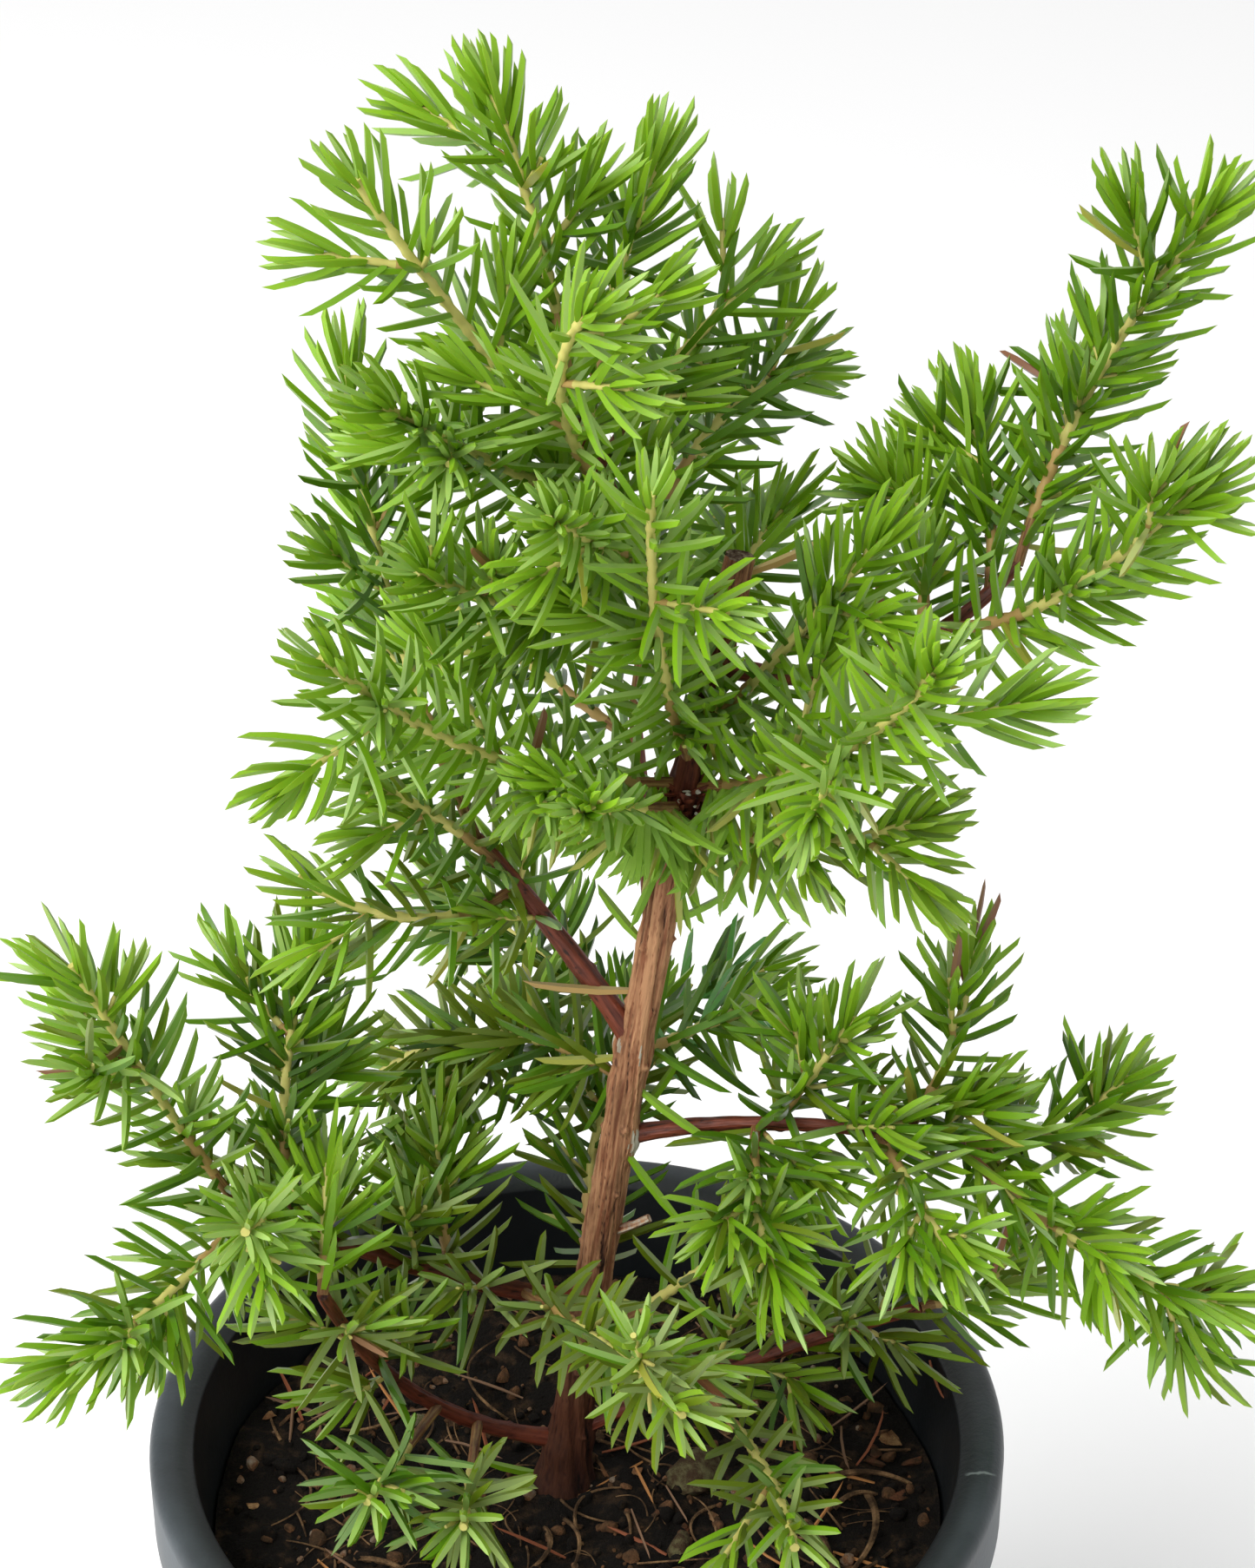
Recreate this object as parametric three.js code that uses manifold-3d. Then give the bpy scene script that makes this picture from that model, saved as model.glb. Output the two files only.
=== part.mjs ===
// A young blue shore juniper in a round nursery pot, in millimetres, +Z up.
// The origin is the centre of the pot's flat underside, and the front of the plant faces -Y.
import * as THREE from "three";
import { mergeVertices } from "three/addons/utils/BufferGeometryUtils.js";
import Module from "manifold-3d";

const wasm = await Module();
wasm.setup();

// Pot: a thin wall that turns out into a broad soft lip with a skirt under it
const POT_HEIGHT = 118;
const POT_BASE_RADIUS = 41;
const RIM_RADIUS = 57.5;
const LIP_WIDTH = 6;
const LIP_ROUND = 3;
const LIP_CORNER = 1;
const SKIRT_HEIGHT = 12;
const WALL = 1.4;
const FLOOR = 2;
const FOOT_ROUND = 1;
const POT_SEGMENTS = 32;
const DRAIN_HOLES = 6;
const DRAIN_RADIUS = 4;
const DRAIN_CIRCLE = 31;
const DRAIN_SIDES = 12;

// Soil: fills the pot to a little under the rim
const SOIL_LEVEL = 102;
const SOIL_BUMP = 1.2;
const SOIL_SEGMENTS = 32;
const SOIL_RINGS = [9, 20, 32, 43];
const SOIL_MARGIN = 0.3;
const SOIL_WAVES = [9, 7, 5];
const SOIL_LEVEL_REACH = 12;

// Clearance between neighbouring pieces, and the shortest edge that a mesh keeps
const GAP = 0.3;
const SHORTEST_EDGE = 0.02;

// Trunk: leans to the right, with its foot flared out on the soil and a flat pruned top
const TRUNK_FOOT = [-2, 5];
const TRUNK_TOP = [20, 5];
const TRUNK_TOP_LEVEL = 247;
const TRUNK_BOW = -3;
const TRUNK_FOOT_RADIUS = 2.7;
const TRUNK_TOP_RADIUS = 1.8;
const FLARE = 2;
const FLARE_HEIGHT = 5;

// Limbs: how many sides and rings their skins have, and where the rings lie
const TRUNK_SKIN = { sides: 10, rings: 16, shareOf: (u) => u ** 1.7, levelFoot: true };
const BOUGH_SKIN = { sides: 7, rings: 6 };
const STEM_SKIN = { sides: 3, rings: 5 };
const TWIG_SKIN = { sides: 3, rings: 1 };
const BOUGH_TIP_SHARE = 0.65;

// Pieces that a limb's curve counts as, when its neighbours keep clear of it
const TRUNK_PIECES = 20;
const BOUGH_PIECES = 10;
const STEM_PIECES = 8;

// Foliage: stems, the twigs that branch from them, and needles drawn larger than life
const STEM_RADIUS = 0.95;
const STEM_TIP_RADIUS = 0.4;
const TWIG_RADIUS = 0.6;
const TWIG_TIP_RADIUS = 0.3;
const STEM_BARE = 0.2;
const TWIG_SPACING = 22;
const TWIG_FIRST = 0.3;
const TWIG_SPAN = 0.5;
const TWIG_BASE_LENGTH = 4;
const TWIG_SHARE = 0.2;
const TWIG_ANGLE = 50;
const TWIG_BARE = 0.35;
const TWIG_SHORTEST = 0.8;
const NEEDLE_LENGTH = 15;
const NEEDLE_WIDTH = 3.2;
const NEEDLE_THICKNESS = 1.1;
const NEEDLE_WIDEST = 0.4;
const NEEDLE_SPACING = 8.4;
const NEEDLE_LAST = 0.97;
const NEEDLE_SHORTEST = 0.85;
const NEEDLE_ANGLE = 52;
const NEEDLE_TIP_ANGLE = 20;
const FORWARD_FROM = 0.75;
const ANGLE_SPREAD = 10;
const TURN_SPREAD = 40;
const GOLDEN_ANGLE = 137.5;
const SEED_STEP = 7919;

// Boughs: each leaves the trunk at a share of the trunk's length, towards a heading round the pot
// (0 is to the right, -90 to the front) and a rise above level, both in degrees. Arch lifts the
// middle and sway turns it to the left, as shares of the length. Radius is the bough's at its foot.
const BOUGHS = {
  left_bough: { at: 0.515, heading: 170, rise: 55, length: 35, arch: 0.05, radius: 1.7 },
  right_bough: { at: 0.41, heading: -10, rise: 5, length: 45, arch: 0.1, sway: 0.05, radius: 1.3 },
  low_left_bough: { at: 0.22, heading: -165, rise: 30, length: 54, arch: -0.1, radius: 1.5 },
  ground_left_bough: { at: 0.05, heading: -140, rise: 50, length: 61, arch: -0.3, sway: -0.2, radius: 1.4 },
  ground_right_bough: { at: 0.06, heading: 0, rise: 25, length: 52, arch: 0.05, radius: 1.4 },
  upper_right_bough: { at: 0.9, heading: 10, rise: 15, length: 38, arch: -0.25, sway: -0.2, radius: 1.4 },
  upper_left_bough: { at: 0.88, heading: 170, rise: 65, length: 39, arch: 0.05, sway: 0.15, radius: 1.5 },
  back_low_bough: { at: 0.3, heading: 85, rise: 5, length: 40, arch: 0.1, radius: 1.4 },
  back_bough: { at: 0.62, heading: 95, rise: 30, length: 34, arch: -0.05, radius: 1.4 },
};

// Masses of foliage, under the limb that carries them, with the same measures for each mass's stem
const STEMS = {
  upper_left_bough: {
    crown_left: { at: 0.75, heading: -170, rise: 55, length: 48, arch: -0.1, sway: -0.1 },
    crown_leader: { at: 1, heading: 135, rise: 70, length: 38, arch: -0.1, sway: -0.1 },
    crown_right: { at: 0.9, heading: 60, rise: 60, length: 33, arch: 0.05, sway: 0.05 },
    crown_front: { at: 0.55, heading: -100, rise: 60, length: 46, arch: 0.1, sway: -0.25 },
    crown_fork: { at: 0.65, heading: -150, rise: 35, length: 37, arch: -0.1, sway: -0.2 },
    crown_star: { at: 0.45, heading: -110, rise: 35, length: 38 },
    crown_shelf: { at: 0.25, heading: -150, rise: 25, length: 37, arch: -0.2, sway: -0.25 },
    crown_back: { at: 0.8, heading: 50, rise: 25, length: 35, arch: 0.1 },
    crown_back_low: { at: 0.5, heading: 55, rise: 15, length: 38, arch: 0.25, sway: 0.05 },
  },
  trunk: {
    stub_tuft: { at: 0.96, heading: 75, rise: 0, length: 22 },
    whorl_left: { at: 0.785, heading: -140, rise: 35, length: 65, arch: -0.2, sway: -0.1 },
    whorl_star: { at: 0.76, heading: -110, rise: 30, length: 43 },
    whorl_up: { at: 0.8, heading: -100, rise: 60, length: 61, arch: -0.05, sway: -0.05 },
    whorl_right: { at: 0.78, heading: -60, rise: 40, length: 67, arch: -0.15, sway: 0.1 },
    whorl_back: { at: 0.83, heading: -30, rise: 55, length: 41, arch: -0.05, sway: -0.05 },
    whorl_low: { at: 0.75, heading: -35, rise: 20, length: 37, arch: -0.2 },
    behind_right: { at: 0.5, heading: 50, rise: -10, length: 34, arch: 0.05, sway: -0.1 },
    behind_left: { at: 0.47, heading: 140, rise: -25, length: 51, arch: 0.3 },
    right_tuft: { at: 0.16, heading: -35, rise: 50, length: 48, sway: 0.05 },
    behind_trunk: { at: 0.25, heading: 75, rise: 45, length: 38, arch: -0.15, sway: 0.2 },
  },
  left_bough: {
    left_tall: { at: 1, heading: 135, rise: 70, length: 62, sway: 0.1 },
    left_bend: { at: 0.85, heading: -150, rise: 45, length: 25, arch: 0.1 },
    left_tongue: { at: 0.75, heading: -160, rise: 15, length: 29, arch: -0.25, sway: 0.2 },
  },
  upper_right_bough: {
    arm_tip: { at: 1, heading: 25, rise: 60, length: 48, arch: -0.05, sway: 0.2 },
    arm_right: { at: 0.75, heading: -15, rise: 40, length: 38, arch: -0.2, sway: -0.15 },
    arm_up: { at: 0.9, heading: 95, rise: 35, length: 26, arch: 0.05, sway: -0.1 },
    arm_inner: { at: 0.65, heading: 95, rise: 50, length: 20, arch: 0.05, sway: -0.15 },
  },
  right_bough: {
    low_right_rise: { at: 0.45, heading: -5, rise: 60, length: 20 },
    low_right_dead: { at: 0.82, heading: 60, rise: 45, length: 26, arch: -0.05, sway: -0.15 },
    low_right_fan: { at: 0.93, heading: 25, rise: -5, length: 27, arch: -0.15, sway: -0.05 },
    low_right_tip: { at: 1, heading: -10, rise: -30, length: 41, arch: -0.15, sway: -0.1 },
    low_right_hang: { at: 0.4, heading: -85, rise: -15, length: 26, sway: -0.1 },
    low_right_under: { at: 0.75, heading: -65, rise: -15, length: 21 },
  },
  low_left_bough: {
    low_left_tip: { at: 1, heading: -175, rise: 65, length: 41, arch: -0.05 },
    low_left_rise: { at: 0.85, heading: 80, rise: 60, length: 35, arch: 0.15, sway: 0.1 },
    low_left_hang: { at: 0.95, heading: -130, rise: -10, length: 33, arch: -0.05, sway: 0.05 },
    low_left_star: { at: 0.9, heading: -90, rise: 35, length: 31 },
    low_left_back: { at: 0.4, heading: 95, rise: 55, length: 21, arch: 0.05, sway: 0.1 },
    low_left_front: { at: 0.2, heading: -65, rise: 20, length: 52, sway: 0.05 },
  },
  ground_left_bough: {
    ground_left_rise: { at: 1, heading: 90, rise: 35, length: 17 },
    front_star_left: { at: 0.45, heading: -100, rise: 25, length: 42 },
    front_star_right: { at: 0.3, heading: -90, rise: 25, length: 44 },
  },
  ground_right_bough: {
    ground_right_front: { at: 0.35, heading: -75, rise: 15, length: 48, sway: 0.1 },
    ground_right_tip: { at: 1, heading: 15, rise: 10, length: 14 },
  },
  back_low_bough: {
    back_low_left: { at: 1, heading: 140, rise: 15, length: 38, arch: 0.1 },
    back_low_right: { at: 0.9, heading: 35, rise: 10, length: 38, arch: 0.1 },
  },
  back_bough: {
    back_up: { at: 1, heading: 75, rise: 60, length: 44 },
    back_left: { at: 0.85, heading: 145, rise: 20, length: 40 },
  },
};
const MASSES = Object.entries(STEMS).flatMap(([from, stems]) =>
  Object.entries(stems).map(([name, stem]) => ({ name, from, ...stem })),
);

// Materials
function finish(color, roughness) {
  return new THREE.MeshStandardMaterial({ color, roughness, metalness: 0, flatShading: true });
}
const potPlastic = () => finish(0x33393f, 0.45);
const darkSoil = () => finish(0x2a1d15, 0.95);
const bark = () => finish(0x8a5a3c, 0.85);
const redBark = () => finish(0x6b2f1f, 0.75);
const foliage = () => finish(0x4f9a2b, 0.6);

// Meshes and solids
function solidOf(geometry) {
  geometry.deleteAttribute("normal");
  geometry.deleteAttribute("uv");
  const merged = mergeVertices(geometry);
  const vertProperties = new Float32Array(merged.attributes.position.array);
  const triVerts = new Uint32Array(merged.index.array);
  return new wasm.Manifold(new wasm.Mesh({ numProp: 3, vertProperties, triVerts }));
}

// The faces once each short edge is closed up, where its ends have in common only themselves and
// the far corners of its two faces
const ENDS_AND_FAR_CORNERS = 4;
function withoutShortEdges(places, corners) {
  const placeOf = (corner) => new THREE.Vector3().fromArray(places, 3 * corner);
  const isShort = (a, b) => placeOf(a).distanceTo(placeOf(b)) < SHORTEST_EDGE;
  let faces = [];
  for (let i = 0; i < corners.length; i += 3) faces.push([corners[i], corners[i + 1], corners[i + 2]]);
  let closed = true;
  while (closed) {
    closed = false;
    const around = new Map();
    for (const face of faces) {
      for (const corner of face) {
        if (!around.has(corner)) around.set(corner, new Set());
        face.forEach((other) => around.get(corner).add(other));
      }
    }
    const settled = new Set();
    const movedTo = new Map();
    for (const [a, b, c] of faces) {
      for (const [from, to] of [[a, b], [b, c], [c, a]]) {
        if (settled.has(from) || settled.has(to) || !isShort(from, to)) continue;
        const shared = [...around.get(from)].filter((corner) => around.get(to).has(corner));
        if (shared.length !== ENDS_AND_FAR_CORNERS) continue;
        movedTo.set(from, to);
        [...around.get(from), ...around.get(to)].forEach((corner) => settled.add(corner));
        closed = true;
      }
    }
    faces = faces
      .map((face) => face.map((corner) => movedTo.get(corner) ?? corner))
      .filter(([a, b, c]) => a !== b && b !== c && c !== a);
  }
  return faces.flat();
}

function meshOf(name, solid, material) {
  const { vertProperties, triVerts } = solid.getMesh();
  const geometry = new THREE.BufferGeometry();
  geometry.setAttribute("position", new THREE.BufferAttribute(vertProperties, 3));
  geometry.setIndex(withoutShortEdges(vertProperties, triVerts));
  geometry.computeVertexNormals();
  const mesh = new THREE.Mesh(geometry, material);
  mesh.name = name;
  return mesh;
}

// Numbers from 0 to 1 that are the same on every run
function seededNumbers(seed) {
  let state = seed >>> 0;
  return () => {
    state = (Math.imul(state, 1664525) + 1013904223) >>> 0;
    return state / 2 ** 32;
  };
}

// A share about 1, from the least to as much over 1
function spread(least, random) {
  return least + 2 * (1 - least) * random();
}

// Directions
const UP = new THREE.Vector3(0, 0, 1);
const radians = THREE.MathUtils.degToRad;

function towards(heading, rise) {
  const level = Math.cos(radians(rise));
  const x = level * Math.cos(radians(heading));
  const y = level * Math.sin(radians(heading));
  return new THREE.Vector3(x, y, Math.sin(radians(rise)));
}

function squareTo(tangent) {
  const side = new THREE.Vector3().crossVectors(UP, tangent);
  if (side.lengthSq() < 1e-6) side.set(1, 0, 0);
  return side.normalize();
}

// A direction that leaves the tangent by one angle and is turned round it by another
function leaving(tangent, angle, turn) {
  const side = squareTo(tangent).applyAxisAngle(tangent, radians(turn));
  return side.multiplyScalar(Math.sin(radians(angle))).addScaledVector(tangent, Math.cos(radians(angle)));
}

// Curves of the limbs
function trunkCurve() {
  const foot = new THREE.Vector3(...TRUNK_FOOT, SOIL_LEVEL);
  const top = new THREE.Vector3(...TRUNK_TOP, TRUNK_TOP_LEVEL);
  const middle = foot.clone().lerp(top, 0.5).add(new THREE.Vector3(TRUNK_BOW, 0, 0));
  return new THREE.QuadraticBezierCurve3(foot, middle, top);
}

function limbCurve(parent, { at, heading, rise, length, arch = 0, sway = 0 }) {
  const start = parent.getPoint(at);
  const end = start.clone().addScaledVector(towards(heading, rise), length);
  const middle = start.clone().lerp(end, 0.5);
  middle.addScaledVector(UP, arch * length);
  middle.addScaledVector(towards(heading + 90, 0), sway * length);
  return new THREE.QuadraticBezierCurve3(start, middle, end);
}

// A closed cylinder bent along a curve, with a radius for each share of its length. Its end can
// run on straight beyond the curve's.
function bentCylinder(curve, radiusAt, skin) {
  const { sides, rings, shareOf = (u) => u, levelFoot = false, beyond = 0 } = skin;
  const geometry = new THREE.CylinderGeometry(1, 1, 1, sides, rings);
  const places = geometry.attributes.position;
  const side = squareTo(curve.getTangent(0));
  const frames = [];
  for (let i = 0; i <= rings; i++) {
    const share = shareOf(i / rings);
    const tangent = levelFoot && i === 0 ? UP : curve.getTangent(share);
    side.addScaledVector(tangent, -side.dot(tangent)).normalize();
    const across = new THREE.Vector3().crossVectors(side, tangent);
    const middle = curve.getPoint(share).addScaledVector(tangent, i === rings ? beyond : 0);
    frames.push({ middle, side: side.clone(), across, radius: radiusAt(share) });
  }
  for (let i = 0; i < places.count; i++) {
    const { middle, side: x, across, radius } = frames[Math.round((places.getY(i) + 0.5) * rings)];
    const moved = middle.clone();
    moved.addScaledVector(x, radius * places.getX(i));
    moved.addScaledVector(across, radius * places.getZ(i));
    places.setXYZ(i, moved.x, moved.y, moved.z);
  }
  return geometry;
}

// Room: every limb, twig and needle is kept as a line with a radius, under its piece's name
const taken = [];

function segmentDistance(a, b, c, d) {
  const u = b.clone().sub(a);
  const v = d.clone().sub(c);
  const w = a.clone().sub(c);
  const uu = u.dot(u);
  const uv = u.dot(v);
  const vv = v.dot(v);
  const uw = u.dot(w);
  const vw = v.dot(w);
  const clamp = (x) => Math.min(1, Math.max(0, x));
  const spread = uu * vv - uv * uv;
  let s = spread > 1e-9 ? clamp((uv * vw - vv * uw) / spread) : 0;
  const t = clamp((uv * s + vw) / vv);
  s = clamp((uv * t - uw) / uu);
  return a.clone().addScaledVector(u, s).distanceTo(c.clone().addScaledVector(v, t));
}

function isFree(owner, start, end, radius) {
  if (!isOffPot(end, radius + GAP)) return false;
  return taken.every(
    (other) =>
      other.owner === owner ||
      segmentDistance(start, end, other.start, other.end) > radius + other.radius + GAP,
  );
}

// Whether a point is above the soil and its margin away from the pot's rim and wall
function isOffPot(point, margin) {
  if (point.z > POT_HEIGHT + margin) return true;
  const out = Math.hypot(point.x, point.y);
  const inside = out < innerRadius(point.z) - margin && point.z > SOIL_LEVEL + 2 * SOIL_BUMP + margin;
  return inside || out > RIM_RADIUS + margin;
}

function takeCurve(owner, curve, radiusAt, pieces) {
  for (let i = 0; i < pieces; i++) {
    const start = curve.getPoint(i / pieces);
    const end = curve.getPoint((i + 1) / pieces);
    taken.push({ owner, start, end, radius: radiusAt(i / pieces) });
  }
}

// Pot
function innerRadius(level) {
  return POT_BASE_RADIUS - WALL + ((RIM_RADIUS - LIP_WIDTH - POT_BASE_RADIUS + WALL) * level) / POT_HEIGHT;
}

function arcPoints(x, y, radius, from, to, steps) {
  const points = [];
  for (let i = 0; i <= steps; i++) {
    const angle = radians(from + ((to - from) * i) / steps);
    points.push(new THREE.Vector2(x + radius * Math.cos(angle), y + radius * Math.sin(angle)));
  }
  return points;
}

function makePot() {
  const skirtFoot = POT_HEIGHT - SKIRT_HEIGHT;
  const lipUnder = POT_HEIGHT - WALL;
  const profile = [
    new THREE.Vector2(0, 0),
    ...arcPoints(POT_BASE_RADIUS - FOOT_ROUND, FOOT_ROUND, FOOT_ROUND, -90, 0, 2),
    new THREE.Vector2(innerRadius(skirtFoot) + WALL, skirtFoot),
    new THREE.Vector2(innerRadius(lipUnder) + WALL, lipUnder),
    new THREE.Vector2(RIM_RADIUS - WALL - LIP_CORNER, lipUnder),
    new THREE.Vector2(RIM_RADIUS - WALL, lipUnder - LIP_CORNER),
    new THREE.Vector2(RIM_RADIUS - WALL, skirtFoot),
    new THREE.Vector2(RIM_RADIUS, skirtFoot),
    ...arcPoints(RIM_RADIUS - LIP_ROUND, POT_HEIGHT - LIP_ROUND, LIP_ROUND, 0, 90, 4),
    ...arcPoints(RIM_RADIUS - LIP_WIDTH + LIP_CORNER, POT_HEIGHT - LIP_CORNER, LIP_CORNER, 90, 180, 2),
    new THREE.Vector2(innerRadius(FLOOR), FLOOR),
    new THREE.Vector2(0, FLOOR),
  ];
  let pot = solidOf(turned(profile, POT_SEGMENTS));
  for (let i = 0; i < DRAIN_HOLES; i++) {
    const hole = new THREE.CylinderGeometry(DRAIN_RADIUS, DRAIN_RADIUS, 4 * FLOOR, DRAIN_SIDES);
    hole.rotateX(Math.PI / 2);
    hole.translate(DRAIN_CIRCLE, 0, 0);
    hole.rotateZ((2 * Math.PI * i) / DRAIN_HOLES);
    pot = pot.subtract(solidOf(hole));
  }
  return meshOf("pot", pot, potPlastic());
}

// A profile turned round the upright axis
function turned(profile, segments) {
  const geometry = new THREE.LatheGeometry(profile, segments);
  geometry.rotateX(Math.PI / 2);
  return geometry;
}

// Soil: level under the trunk, uneven farther out
function soilRise(x, y) {
  const [footX, footY] = TRUNK_FOOT;
  const away = Math.min(1, Math.max(0, Math.hypot(x - footX, y - footY) / SOIL_LEVEL_REACH - 1));
  const [across, along, slanting] = SOIL_WAVES;
  const wave = Math.sin(x / across) * Math.cos(y / along) + 0.5 * Math.sin((x + y) / slanting);
  return SOIL_BUMP * away * wave;
}

function makeSoil() {
  const bottom = FLOOR + GAP;
  const edge = innerRadius(SOIL_LEVEL) - GAP - SOIL_MARGIN;
  const top = SOIL_LEVEL - GAP;
  const profile = [
    new THREE.Vector2(0, bottom),
    new THREE.Vector2(innerRadius(bottom) - GAP, bottom),
    new THREE.Vector2(edge, top),
    ...SOIL_RINGS.toReversed().map((radius) => new THREE.Vector2(radius, top)),
    new THREE.Vector2(0, top),
  ];
  const geometry = turned(profile, SOIL_SEGMENTS);
  const places = geometry.attributes.position;
  for (let i = 0; i < places.count; i++) {
    if (places.getZ(i) < top - GAP) continue;
    places.setZ(i, top + soilRise(places.getX(i), places.getY(i)));
  }
  return meshOf("soil", solidOf(geometry), darkSoil());
}

// Limbs: the trunk, then each bough cut clear of it
const curves = { trunk: trunkCurve() };
const radii = {
  trunk: (share) =>
    THREE.MathUtils.lerp(TRUNK_FOOT_RADIUS, TRUNK_TOP_RADIUS, share) +
    FLARE * Math.exp((-share * (TRUNK_TOP_LEVEL - SOIL_LEVEL)) / FLARE_HEIGHT),
};

// The limb's own skin grown by the gap, for cutting what leaves it
function clearance(name) {
  const skin = { ...(name === "trunk" ? TRUNK_SKIN : BOUGH_SKIN), beyond: GAP };
  return solidOf(bentCylinder(curves[name], (share) => radii[name](share) + GAP, skin));
}

function makeTrunk() {
  takeCurve("trunk", curves.trunk, radii.trunk, TRUNK_PIECES);
  return meshOf("trunk", solidOf(bentCylinder(curves.trunk, radii.trunk, TRUNK_SKIN)), bark());
}

function makeBough([name, bough]) {
  const { radius } = bough;
  curves[name] = limbCurve(curves.trunk, bough);
  radii[name] = (share) => THREE.MathUtils.lerp(radius, BOUGH_TIP_SHARE * radius, share);
  takeCurve(name, curves[name], radii[name], BOUGH_PIECES);
  const whole = solidOf(bentCylinder(curves[name], radii[name], BOUGH_SKIN));
  return meshOf(name, whole.subtract(clearance("trunk")), redBark());
}

// A needle: eight faces, widest below its middle, with its root on the stem's axis
function needleSolid(root, direction, length) {
  const geometry = new THREE.OctahedronGeometry(1);
  const places = geometry.attributes.position;
  const side = squareTo(direction);
  const across = new THREE.Vector3().crossVectors(direction, side);
  for (let i = 0; i < places.count; i++) {
    const along = places.getX(i);
    const moved = root.clone();
    moved.addScaledVector(direction, length * (along > 0.5 ? 1 : along < -0.5 ? 0 : NEEDLE_WIDEST));
    moved.addScaledVector(side, 0.5 * NEEDLE_WIDTH * places.getY(i));
    moved.addScaledVector(across, 0.5 * NEEDLE_THICKNESS * places.getZ(i));
    places.setXYZ(i, moved.x, moved.y, moved.z);
  }
  return solidOf(geometry);
}

// Needles up one stem or twig, turned on by the golden angle, with the last ones leaning forward
function needlesAlong(owner, curve, length, from, random) {
  const solids = [];
  const count = Math.max(2, Math.round((length * (1 - from)) / NEEDLE_SPACING));
  for (let i = 0; i <= count; i++) {
    const share = from + ((1 - from) * i) / count;
    const forward = Math.max(0, (share - FORWARD_FROM) / (1 - FORWARD_FROM));
    const lean = THREE.MathUtils.lerp(NEEDLE_ANGLE, NEEDLE_TIP_ANGLE, forward);
    const angle = lean + ANGLE_SPREAD * (random() - 0.5);
    const direction = leaving(curve.getTangent(share), angle, GOLDEN_ANGLE * i + TURN_SPREAD * random());
    const reach = NEEDLE_LENGTH * spread(NEEDLE_SHORTEST, random);
    const root = curve.getPoint(Math.min(share, NEEDLE_LAST));
    const end = root.clone().addScaledVector(direction, reach);
    if (!isFree(owner, root, end, 0.5 * NEEDLE_WIDTH)) continue;
    taken.push({ owner, start: root, end, radius: 0.5 * NEEDLE_WIDTH });
    solids.push(needleSolid(root, direction, reach));
  }
  return solids;
}

// Twigs: by the same seeded rule for every mass, each straight, from the stem
function twigsOf(mass, stem, random) {
  const twigs = [];
  const count = Math.max(1, Math.round(mass.length / TWIG_SPACING));
  const firstTurn = 360 * random();
  for (let i = 0; i < count; i++) {
    const share = TWIG_FIRST + (TWIG_SPAN * (i + random())) / count;
    const length = (TWIG_BASE_LENGTH + TWIG_SHARE * mass.length) * spread(TWIG_SHORTEST, random);
    const direction = leaving(stem.getTangent(share), TWIG_ANGLE, firstTurn + GOLDEN_ANGLE * i);
    const start = stem.getPoint(share);
    const end = start.clone().addScaledVector(direction, length);
    twigs.push({ start, end, length });
  }
  return twigs;
}

const stemRadius = (share) => THREE.MathUtils.lerp(STEM_RADIUS, STEM_TIP_RADIUS, share);
const twigRadius = (share) => THREE.MathUtils.lerp(TWIG_RADIUS, TWIG_TIP_RADIUS, share);

// All stems are set out first, then twigs, then needles, so that none meets another mass
function growMasses() {
  const grown = MASSES.map((mass, index) => {
    const stem = limbCurve(curves[mass.from], mass);
    takeCurve(mass.name, stem, stemRadius, STEM_PIECES);
    const parts = [solidOf(bentCylinder(stem, stemRadius, STEM_SKIN))];
    return { mass, stem, random: seededNumbers(SEED_STEP * (index + 1)), parts, twigs: [] };
  });
  for (const { mass, stem, random, parts, twigs } of grown) {
    for (const { start, end, length } of twigsOf(mass, stem, random)) {
      const outsideStem = start.clone().lerp(end, STEM_RADIUS / length);
      if (!isFree(mass.name, outsideStem, end, TWIG_RADIUS)) continue;
      taken.push({ owner: mass.name, start, end, radius: TWIG_RADIUS });
      const curve = new THREE.LineCurve3(start, end);
      parts.push(solidOf(bentCylinder(curve, twigRadius, TWIG_SKIN)));
      twigs.push({ curve, length });
    }
  }
  for (const { mass, stem, random, parts, twigs } of grown) {
    parts.push(...needlesAlong(mass.name, stem, mass.length, STEM_BARE, random));
    for (const { curve, length } of twigs) {
      parts.push(...needlesAlong(mass.name, curve, length, TWIG_BARE, random));
    }
  }
  return grown.map(({ mass, parts }) => {
    const whole = wasm.Manifold.union(parts).subtract(clearance(mass.from));
    return meshOf(mass.name, whole, foliage());
  });
}

// The whole plant
const plant = new THREE.Group();
plant.name = "potted_shore_juniper";
plant.add(makePot(), makeSoil(), makeTrunk());
plant.add(...Object.entries(BOUGHS).map(makeBough));
plant.add(...growMasses());

export default plant;
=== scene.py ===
"""A young shore juniper in a nursery pot: its pot, soil, bark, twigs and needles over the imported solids."""

import math
from collections import namedtuple
from functools import cache

import bmesh
import bpy
import numpy as np
from bpy.props import FloatProperty, FloatVectorProperty, IntProperty, PointerProperty
from bpy.types import Operator, Panel, PropertyGroup
from mathutils import Matrix, Vector, noise


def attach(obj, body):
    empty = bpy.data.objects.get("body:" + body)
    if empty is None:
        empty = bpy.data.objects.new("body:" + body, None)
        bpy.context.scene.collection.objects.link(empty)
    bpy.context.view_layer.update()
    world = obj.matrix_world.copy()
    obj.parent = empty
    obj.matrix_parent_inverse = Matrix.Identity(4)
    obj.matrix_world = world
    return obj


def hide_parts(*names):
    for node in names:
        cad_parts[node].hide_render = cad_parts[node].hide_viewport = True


bl_info = {
    "name": "Potted Shore Juniper",
    "version": (1, 0, 0),
    "blender": (4, 5, 0),
    "location": "3D View > Sidebar > Juniper",
    "description": "Builds the pot, soil, bark, twigs and needles of a potted shore juniper",
    "category": "Object",
}

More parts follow.
